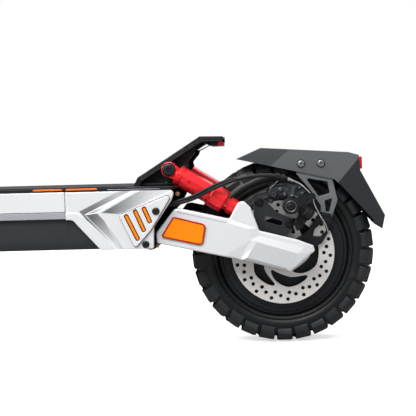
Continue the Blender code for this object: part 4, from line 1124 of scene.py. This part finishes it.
def fold_of(crease):
    """A point of a crease, the direction square to it into the folded part, its narrowing and its paint, a darker
    one as painted shade.
    """
    upper, lower, side, narrowing, paint = crease
    spot, foot = place(upper[0], 0, upper[1]), place(lower[0], 0, lower[1])
    ahead = Vector(RIGHT).cross(foot - spot).normalized()
    return spot, ahead if ahead.x * side > 0 else -ahead, narrowing, paint


def make_fender():
    """The folded rear fender: its front and its flap narrow past a crease on either side and take darker paint as
    painted shade, while its side face takes a lighter paint as painted light.
    """
    obj = cad_copy("rear_fender", "rear_fender_shell", CHARCOAL)
    folds = [fold_of(crease) for crease in FENDER_CREASES]
    with reshaping(obj) as bm:
        for spot, ahead, narrowing, _ in folds:
            bisect(bm, spot, ahead)
            for v in bm.verts:
                reach = (v.co - spot).dot(ahead)
                if reach > 0:
                    v.co.y -= math.copysign(min(reach * narrowing, abs(v.co.y)), v.co.y)
    soften(obj, 0.5, 7, 2)

    def outer(face, past):
        return abs(face.normal.y) > 0.6 and abs(face.center.y) > past

    # Painted shade: the outer faces past each crease take the fold's darker paint.
    for spot, ahead, _, paint in folds:
        tint(obj, paint, lambda face: outer(face, 0.04) and (face.center - spot).dot(ahead) > 0)
    # Painted light: the rest of the outer side face takes a lighter copy of the paint.
    tint(obj, FENDER_SIDE_LIT, lambda face: outer(face, 0.05))
    parts = [obj]
    washer = [(0, 5.8), (0.5, 5.8), (0.8, 5.4), (0.8, 3.0)]
    for axis, out in ((LEFT, -1), (RIGHT, 1)):
        for x in (27.3, 54.2):
            parts.append(turned(washer, place(x, out * 59.8, 247.0), axis, DARK_STEEL, 32))
            parts.append(socket_screw(place(x, out * 60.4, 247.0), axis, 4.9, 2.4, 0.45, GREY_STEEL))
    return join("rear_fender_shell", *parts)


STRUT = [
    (49.0, 179.5), (66.0, 176.0), (66.6, 169, 2), (62.8, 165.5, 2), (63.4, 156, 3), (52.4, 138.8, 3), (12, 119),
    (-9, 121, 4), (-9, 136, 4), (25, 149.6), (34.4, 157.4),
]
STRUT_WINDOW = [(56.0, 168.6, 1.5), (59.0, 156.0, 2), (51.0, 148.6, 1.5), (40.4, 148.8, 1.5), (43.4, 158.4, 2)]
JOINT = [(53, 181), (66.4, 178), (65, 170), (56, 172)]
TRUSS = [
    (26, 257), (66, 257), (69.8, 224), (75.9, 197, 2), (67.2, 173, 1.5), (52, 181.5), (53, 188.8, 3),
    (38.8, 211.2, 3), (20.6, 233.5),
]
TRUSS_WINDOWS = [
    [(33.4, 227.4, 1.5), (62.6, 222, 2), (65.1, 206.1, 1.5), (50.4, 202.1, 2)],
    [(58.2, 196.5, 1.5), (68.6, 199.3, 1.5), (64, 181, 1.5), (59.6, 181, 1.5)],
]


def make_truss():
    """The fender's grey truss on either side, and the black strut from it to the axle."""
    windows = [filleted(window) for window in TRUSS_WINDOWS]
    parts = []
    for side in (-1, 1):
        parts += [
            plate(filleted(TRUSS), side * 53.2, side * 57.4, BRACKET_GREY, 0.7, windows),
            plate(JOINT, side * 56.8, side * 61.0, BLACK, 0.6),
            plate(filleted(STRUT), side * 60.4, side * 64.0, BLACK, 0.6, [filleted(STRUT_WINDOW)]),
        ]
    return join("fender_truss", *parts)


fix(make_fender(), "rear_arm", "rear_fender", slot="black_coat")


# ---------------------------------------------------------------- brake cable

CABLE = [
    (-188, -84.5, 198.6), (-176, -85, 198), (-162, -86, 197.2), (-148, -87, 197.6), (-135, -88, 199.4),
    (-115, -89, 205.5), (-92, -90, 216.6), (-68, -90, 226.2), (-48, -89, 231.2), (-25, -87, 233.0),
    (-10, -86, 232.2), (-3.6, -86, 230.4),
]
SECOND_CABLE = [
    (-150, -89, 200.4), (-135, -90.5, 203.0), (-115, -91.5, 209.4), (-92, -92, 220.4), (-70, -91.5, 228.6),
    (-58, -90.2, 230.2), (-46, -88.8, 231.4),
]
CLAMP = (40.8, -83.6, 204.2)
INNER_WIRE = [(7.5, -85.6, 227.6), (14, -85.4, 225.6), (24.9, -85, 220.3), (33, -84, 212.6), CLAMP]
WIRE_TAIL = [CLAMP, (43.0, -84.6, 193), (50.0, -85.4, 178), (57.0, -85.0, 166), (60.7, -84.6, 155.2)]
NIPPLE = [(0, 1.0), (0, 2.3), (7.5, 1.5), (8.5, 0.9)]
THIN_WIRE = [(-45, -79, 196), (-36, -80, 206), (-20, -81, 215), (-4, -82, 219.6), (8, -83, 219)]
BARREL = [
    (0, 3.4), (0.6, 4.0), (5.2, 4.0), (5.8, 3.2), (8.0, 3.2), (8.4, 4.6), (12.4, 4.6), (12.8, 2.6), (16.6, 2.4),
    (17, 1.6),
]


def make_cable():
    """The brake cable's housing with its sleeve, a second cable along it and the ribbed boot at its end."""
    parts = [
        tube(at(CABLE), 2.5, PLASTIC, 16, 10),
        tube(at(CABLE[1:5]), 3.6, BLACK, 16, 8),
        tube(at(SECOND_CABLE), 1.7, PLASTIC, 12, 8),
    ]
    ribs = 9
    for t in (k / (ribs - 1) for k in range(ribs)):
        spot = place(-44 + 33 * t, -88.4 + 2 * t, 231.9 + 1.2 * math.sin(math.pi * t))
        rib = [(0, 2.0), (0, 3.0), (1.5, 3.0), (1.5, 2.0)]
        parts.append(turned(rib, spot, (1, 0.05, 0.05 - 0.1 * t), BLACK, 20))
    return join("brake_cable_housing", *parts)


def make_adjuster():
    """What follows the cable on the caliper: barrel adjuster, bright inner wire, clamp and wire tail."""
    parts = [
        turned(BARREL, place(-8.0, -86, 232.2), (1, 0, -0.28), BLACK, 18),
        tube(at(INNER_WIRE), 0.95, WIRE, 8, 6),
        tube(at(WIRE_TAIL), 0.7, WIRE, 8, 8),
        turned([(0, 1.1), (3, 1.1)], place(60.5, -84.6, 155.8), (0.35, 0, -1), WIRE, 8),
        tube(at(THIN_WIRE), 0.8, PLASTIC, 8, 8),
        socket_screw(place(40.8, -82.4, 203.8), LEFT, 4.2, 3.0),
        turned(NIPPLE, place(8.4, -85.6, 227.6), (0.92, 0, -0.38), WIRE, 16),
    ]
    return join("rear_caliper_adjuster", *parts)


nuts = [
    socket_screw(place(-138.5, -80.5, 211.0), LEFT, 3.2, 2.6, mat=BRASS),
    socket_screw(place(-165.0, -92.0, 143.4), LEFT, 2.2, 2.2, mat=BRASS),
]
fix(join("deck_end_nuts", *nuts), "deck")
fix(make_cable(), "rear_arm", "rear_brake_cable", slot="black_plastic")
fix(make_adjuster(), "rear_arm")


# ---------------------------------------------------------------- caliper

BRACKET = [
    (-39, 197, 3), (-31, 205.5, 6), (-19, 197, 4), (-8, 183, 3), (4, 178, 3), (15, 172, 3), (12.5, 156, 3),
    (4, 147.5), (-29, 156.5), (-37.5, 168, 3),
]
BRACKET_SLOT = ((-20, 173.5), (-3, 168))
BRACKET_BOLTS = [(-30.7, 197.1), (9.4, 166.9)]
CALIPER_TOP = [
    (-18, 203, 3), (-20.5, 214, 3), (-12, 222, 3), (2, 225, 3), (21, 221.5, 3), (34.5, 212, 3), (33, 204, 3),
    (25, 198.5, 2), (20, 199.5), (19.5, 192), (4.5, 192), (4, 201.5), (-5, 204.5, 2), (-9, 200, 2),
]
CALIPER_LOW = [
    (19, 197.5, 2), (27, 199, 2), (40.5, 186.5, 3), (38.5, 177, 3), (28.5, 165.5, 3), (20, 158.5, 3),
    (14.5, 167, 2), (22.5, 177.5, 3), (19.5, 186.5),
]
CALIPER_PIVOT = (11.8, 191.4)
CYLINDER = [
    (0, 6.2), (0, 7.6), (2.4, 7.6), (2.8, 6.8), (4.6, 6.8), (5.0, 7.6), (7.0, 7.6), (7.4, 6.8), (9.2, 6.8),
    (9.6, 7.6), (12.0, 7.6), (12.6, 8.4), (17.4, 8.4), (18.4, 7.6), (20.6, 7.2), (21.0, 5.0),
]
CYLINDER_RING = [(9.0, 8.2), (10.2, 8.2), (10.2, 6.5), (9.0, 6.5), (9.0, 8.2)]
CYLINDER_WAY = (0.74, 0, -0.67)
PAD = [(15.4, 171.5), (24.4, 174.0), (28.0, 162.4), (19.0, 157.0)]
PAD_LINE = [(17.8, 169.0), (23.0, 170.4), (24.8, 163.6), (20.6, 160.8)]
BRIDGE = [(-16, 205), (-8, 201.5), (-5, 210), (-12.5, 213.5)]
BRIDGE_RIM = [(-14, 206), (-9.4, 204), (-7.4, 208.8), (-12.0, 211)]
BRIDGE_HOLE = [(-12.9, 206.8), (-9.9, 205.4), (-8.5, 208.4), (-11.6, 209.8)]
SMALL_SCREWS = [(-1.5, 214.0, 2.9), (4.2, 207.0, 2.4), (27.0, 207.5, 2.6), (-14.5, 198.5, 1.8), (23.5, 215.5, 2.0)]
CALIPER_WIRES = [
    [(16, -83.5, 205), (24, -84.6, 201.6), (33, -84.6, 203), (39, -84, 207)],
    [(22, -84, 186.5), (29, -85, 190.5), (35, -85, 196), (40, -84.2, 201)],
    [(-17, -82, 207), (-15, -84, 215), (-9, -84.5, 221), (-4, -84, 226)],
]
LEVER_RING = [(0, 10.6), (1.6, 10.6), (2.2, 9.8), (2.2, 7.4), (1.4, 7.2), (1.4, 0)]
LEVER_LINE = [(0, 7.3), (2.0, 7.3), (2.2, 6.8), (2.0, 6.3), (0, 6.3)]


def make_bracket():
    """The caliper's flanged bracket with its slot and two bolts."""
    ring = filleted(BRACKET)
    inner, outer, hole = (slot_outline(*BRACKET_SLOT, radius) for radius in (3.5, 4.6, 3.4))
    parts = [
        plate(ring, -69.7, -64.8, SATIN, 0.8, [hole]),
        plate(ring, -70.6, -69.4, CHARCOAL, 0.4, [inset_outline(ring, 1.6)]),
        plate(outer, -70.4, -69.4, CHARCOAL, 0.3, [inner]),
    ]
    for x, z in BRACKET_BOLTS:
        washer = [(0, 6.2), (0.7, 6.2), (1.0, 5.8), (1.0, 3.4)]
        parts.append(turned(washer, place(x, -69.8, z), LEFT, BLACK, 28))
        parts.append(socket_screw(place(x, -70.6, z), LEFT, 4.4, 3.4, 0.55))
    return join("rear_caliper_mount", *parts)


def spring(base, axis, radius, length, coils, thickness, mat):
    z, x, y = axes_of(axis)
    points = []
    for k in range(coils * 10 + 1):
        turn = 2 * math.pi * k / 10
        rise = length * k / (coils * 10)
        points.append(base + (z * rise + (x * math.cos(turn) + y * math.sin(turn)) * radius) / 1000)
    return tube(points, thickness, mat, 6, 2)


def make_caliper():
    """The mechanical caliper over the disc: two halves, the pivot, its springs, screws, fins and pad."""
    pivot = place(CALIPER_PIVOT[0], 0, CALIPER_PIVOT[1])
    end = place(24.0, -78.0, 190.0)
    upper, lower = filleted(CALIPER_TOP), filleted(CALIPER_LOW)
    parts = [
        plate(upper, -80.0, -67.0, BLACK, 1.0),
        plate(lower, -76.0, -60.2, BLACK, 1.0),
        plate(lower, -54.2, -46.4, BLACK, 1.0),
        plate(inset_outline(upper, 2.6), -81.0, -79.6, CHARCOAL, 0.5),
        turned([(62, 11.4), (82.6, 11.4), (83.6, 10.4), (83.6, 0)], pivot, LEFT, BLACK, 40),
        turned([(46.4, 9.0), (46.4, 10.0), (54.2, 10.0), (54.2, 0)], pivot, LEFT, BLACK, 32),
        turned(CYLINDER, end, CYLINDER_WAY, BLACK, 28),
        turned(CYLINDER_RING, end, CYLINDER_WAY, CHARCOAL, 28),
        spring(place(13, -83.2, 202.5), (0.25, 0, 1), 2.9, 15, 8, 0.65, STEEL_DIM),
        plate(PAD, -75.0, -61.0, PLASTIC, 1.2),
        plate(PAD_LINE, -75.6, -74.8, CHARCOAL, 0.3),
        plate(BRIDGE, -84.6, -79.0, BLACK, 0.9),
        plate(BRIDGE_RIM, -85.2, -84.2, STEEL_DIM, 0.2, [BRIDGE_HOLE]),
    ]
    for x, z, r in SMALL_SCREWS:
        boss = [(0, r + 1.5), (2.4, r + 1.4), (2.8, r + 0.8), (2.8, 0)]
        parts.append(turned(boss, place(x, -80.4, z), LEFT, BLACK, 24))
        parts.append(socket_screw(place(x, -83.0, z), LEFT, r, 1.6, mat=STEEL_DIM))
    for x in (7.0 + 2.5 * k for k in range(6)):
        fin = [(x, 211.5), (x + 1.1, 211.5), (x + 3.1, 219.5), (x + 2.0, 219.5)]
        parts.append(plate(fin, -82.4, -80.4, CHARCOAL, 0.25))
    parts += [tube(at(points), 0.8, STEEL_DIM, 8, 6) for points in CALIPER_WIRES]
    return join("rear_caliper_housing", *parts)


def make_lever_pin():
    x, z = CALIPER_PIVOT
    return join(
        "rear_caliper_lever_pin",
        turned(LEVER_RING, place(x, -91.6, z), LEFT, BLACK, 36),
        turned(LEVER_LINE, place(x, -92.6, z), LEFT, STEEL_DIM, 36),
        socket_screw(place(x, -92.4, z), LEFT, 4.6, 2.4, 0.55),
    )


fix(make_bracket(), "rear_arm", "rear_caliper_bracket", slot="black_coat")
fix(make_caliper(), "rear_arm", "rear_caliper", slot="black_coat")
fix(make_lever_pin(), "rear_caliper_lever")


# ---------------------------------------------------------------- bar and headlight

handlebar = nodes["grip_left"].data.vertices
BAR_X, BAR_Z = ((min(v.co[k] for v in handlebar) + max(v.co[k] for v in handlebar)) / 2 for k in (0, 2))


def make_screen():
    """The display's dark glass over a thin bezel, on its sloping top."""
    x0, z0 = BAR_X * 1000 - REAR_AXLE_X + 8, BAR_Z * 1000 + 38

    def slab(start, stop, low, high):
        spots = ((start, low), (stop, low), (stop, high), (start, high))
        return [(x0 + 48 * t + 0.351 * h, z0 - 18 * t + 0.936 * h) for t, h in spots]

    bezel = plate(slab(0.1, 0.9, -0.6, 0.5), -10.0, 40.0, BLACK, 0.3)
    return join("display_screen", bezel, plate(slab(0.15, 0.85, -0.4, 0.8), -7.6, 37.6, GLASS, 0.25))


def make_grip_ribs(name, axis):
    """The moulded rings of a grip."""
    rings = []
    for start in (198.0 + 6.0 * k for k in range(16)):
        profile = [(start, 15.6), (start + 0.6, 17.2), (start + 3.0, 17.2), (start + 3.6, 15.6)]
        rings.append(turned(profile, Vector((BAR_X, 0, BAR_Z)), axis, GRIP, 40, 24))
    return join(name, *rings)


def make_lamp_front():
    """The headlight's ring and its domed glass."""
    base = place(-978.0, 0, 322.0)
    rim = [(29.0, 20.0), (30.0, 21.0), (35.0, 21.0), (36.0, 20.2), (36.0, 18.0), (34.2, 17.6)]
    dome = [(34.1, 18.0), (35.2, 15.5), (36.2, 11.0), (36.8, 6.0), (37.0, 0)]
    ring = turned(rim, base, (-1, 0, 0), DARK_STEEL)
    return join("headlight_front", ring, turned(dome, base, (-1, 0, 0), LAMP_GLASS))


fix(make_screen(), "stem")
fix(make_grip_ribs("grip_ribs_left", LEFT), "stem")
fix(make_grip_ribs("grip_ribs_right", RIGHT), "stem")
fix(make_lamp_front(), "steering")


# ---------------------------------------------------------------- CAD nodes kept with rounded edges

FINISHES = [
    ("deck_tub", DECK_BLACK, 0.8), ("deck_plate", BLACK, 0.6), ("grip_mat", TAPE, 0.5),
    ("side_panel_left", SILVER, 0.8), ("side_panel_right", SILVER, 0.8), ("battery_pack", BATTERY, 1.0),
    ("motor_controller", CASE, 0.6), ("neck", BLACK, 1.2), ("rear_caliper_lever", BLACK, 0.6),
    ("tail_light", RED_LENS, 0.5), ("fork", BLACK, 1.2), ("front_pivot_axle", DARK_STEEL, 0.4),
    ("fold_base", BLACK, 0.9), ("headlight", PLASTIC, 0.7), ("front_fender", CHARCOAL, 0.5),
    ("front_caliper", BLACK, 0.7), ("front_caliper_lever", BLACK, 0.6), ("stem_tube", BLACK, 1.0),
    ("handlebar", BLACK, 0.6), ("grip_left", GRIP, 0.6), ("grip_right", GRIP, 0.6), ("display", PLASTIC, 0.8),
    ("fold_lever", RED, 0.8), ("brake_lever_left", BLACK, 0.8), ("brake_lever_right", BLACK, 0.8),
    ("throttle_paddle", PLASTIC, 0.6), ("power_button", BUTTON_RED, 0.3), ("kickstand", BLACK, 0.8),
]
OTHER_SLOTS = {"deck_coat": "black_coat", "charcoal_coat": "black_coat"}
NO_SLOT = (TAPE, BATTERY, DARK_STEEL)

for node, mat, width in FINISHES:
    piece = soften(cad_copy(node, f"{node}_finish", mat), width, 32.0)
    own = mat.name.split(".")[0]
    slot = None if mat in NO_SLOT else OTHER_SLOTS.get(own, own)
    fix(piece, nodes[node]["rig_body"], node, slot=slot)
fix(make_truss(), "rear_arm", "fender_bracket", slot="grey_paint")


# ---------------------------------------------------------------- floor, light and camera

FLOOR_LIFT = 0.6
FLOOR_BOUNCE = 0.32
SKY = [(0.0, (0.1, 0.1, 0.105)), (0.25, (0.22, 0.225, 0.235)), (0.7, (0.6, 0.61, 0.62)), (1.0, (0.8, 0.8, 0.8))]

# name, place, aim, width, height, watts
LAMPS = [
    ("key_box", (-0.2, -1.5, 1.7), (0.42, 0, 0.12), 1.5, 0.9, 46),
    ("side_box", (2.3, -1.2, 1.3), (0.45, 0, 0.15), 0.8, 1.0, 7),
    ("front_box", (-1.9, -1.2, 1.3), (0.3, 0, 0.15), 0.8, 1.2, 22),
    ("back_box", (0.4, 1.6, 2.0), (0.35, 0, 0.1), 2.4, 1.0, 26),
]


def aimed(name, data, spot, turn):
    obj = linked(name, data)
    obj.location = spot
    obj.rotation_mode = "QUATERNION"
    obj.rotation_quaternion = turn
    return obj


def seen(tree):
    return add(tree, "LightPath", {}, "Is Camera Ray")


def floor():
    """A wide pale floor, brighter to the camera than to the scooter."""
    mat, tree, shader, coords = material("studio_floor")
    tone = ramp(tree, noise(tree, coords, 1.5, 2.0), [(0.3, (0.8, 0.8, 0.8)), (0.7, (0.82, 0.82, 0.82))])
    bounce = (*[FLOOR_BOUNCE] * 3, 1)
    inputs = {
        "Base Color": add(tree, "Mix", {0: seen(tree), 6: bounce, 7: tone}, 2, data_type="RGBA"),
        "Emission Color": (1, 1, 1, 1),
        "Emission Strength": add(tree, "MapRange", {"Value": seen(tree), "To Min": 0.0, "To Max": FLOOR_LIFT}),
        "Roughness": 0.9,
        "Specular IOR Level": 0.1,
    }
    wire(tree, shader, inputs)
    bm = bmesh.new()
    bmesh.ops.create_circle(bm, cap_ends=True, radius=40, segments=96)
    obj = from_bmesh(bm, mat, 80)
    obj.name = "studio_floor"


def sky():
    """A white backdrop to the camera, and to the scooter a bright sky that darkens towards the horizon."""
    world = bpy.data.worlds.new("studio")
    bpy.context.scene.world = world
    world.use_nodes = True
    tree = world.node_tree
    height = add(tree, "SeparateXYZ", {0: add(tree, "TexCoord", {}, "Generated")}, "Z")
    tones = {0: seen(tree), 6: ramp(tree, height, SKY), 7: (1, 1, 1, 1)}
    wire(tree, tree.nodes["Background"], {0: add(tree, "Mix", tones, 2, data_type="RGBA"), 1: 1.0})


def lamps():
    for name, spot, aim, wide, high, power in LAMPS:
        data = bpy.data.lights.new(name, "AREA")
        data.shape = "RECTANGLE"
        data.size, data.size_y = wide, high
        data.energy = power
        aimed(name, data, spot, (Vector(aim) - Vector(spot)).to_track_quat("-Z", "Y"))


def camera():
    data = bpy.data.cameras.new("camera")
    data.sensor_width = 36
    data.lens = 76.07
    data.shift_x, data.shift_y = -0.154, -0.111
    data.clip_start, data.clip_end = 0.05, 60
    look = Vector(RIGHT).to_track_quat("-Z", "Y")
    roll = Matrix.Rotation(math.radians(-1.455), 4, "Z").to_quaternion()
    bpy.context.scene.camera = aimed("camera", data, (0.47445, -1.25, 0.2506), look @ roll)


floor()
sky()
lamps()
camera()
bpy.context.scene.view_settings.view_transform = "Standard"
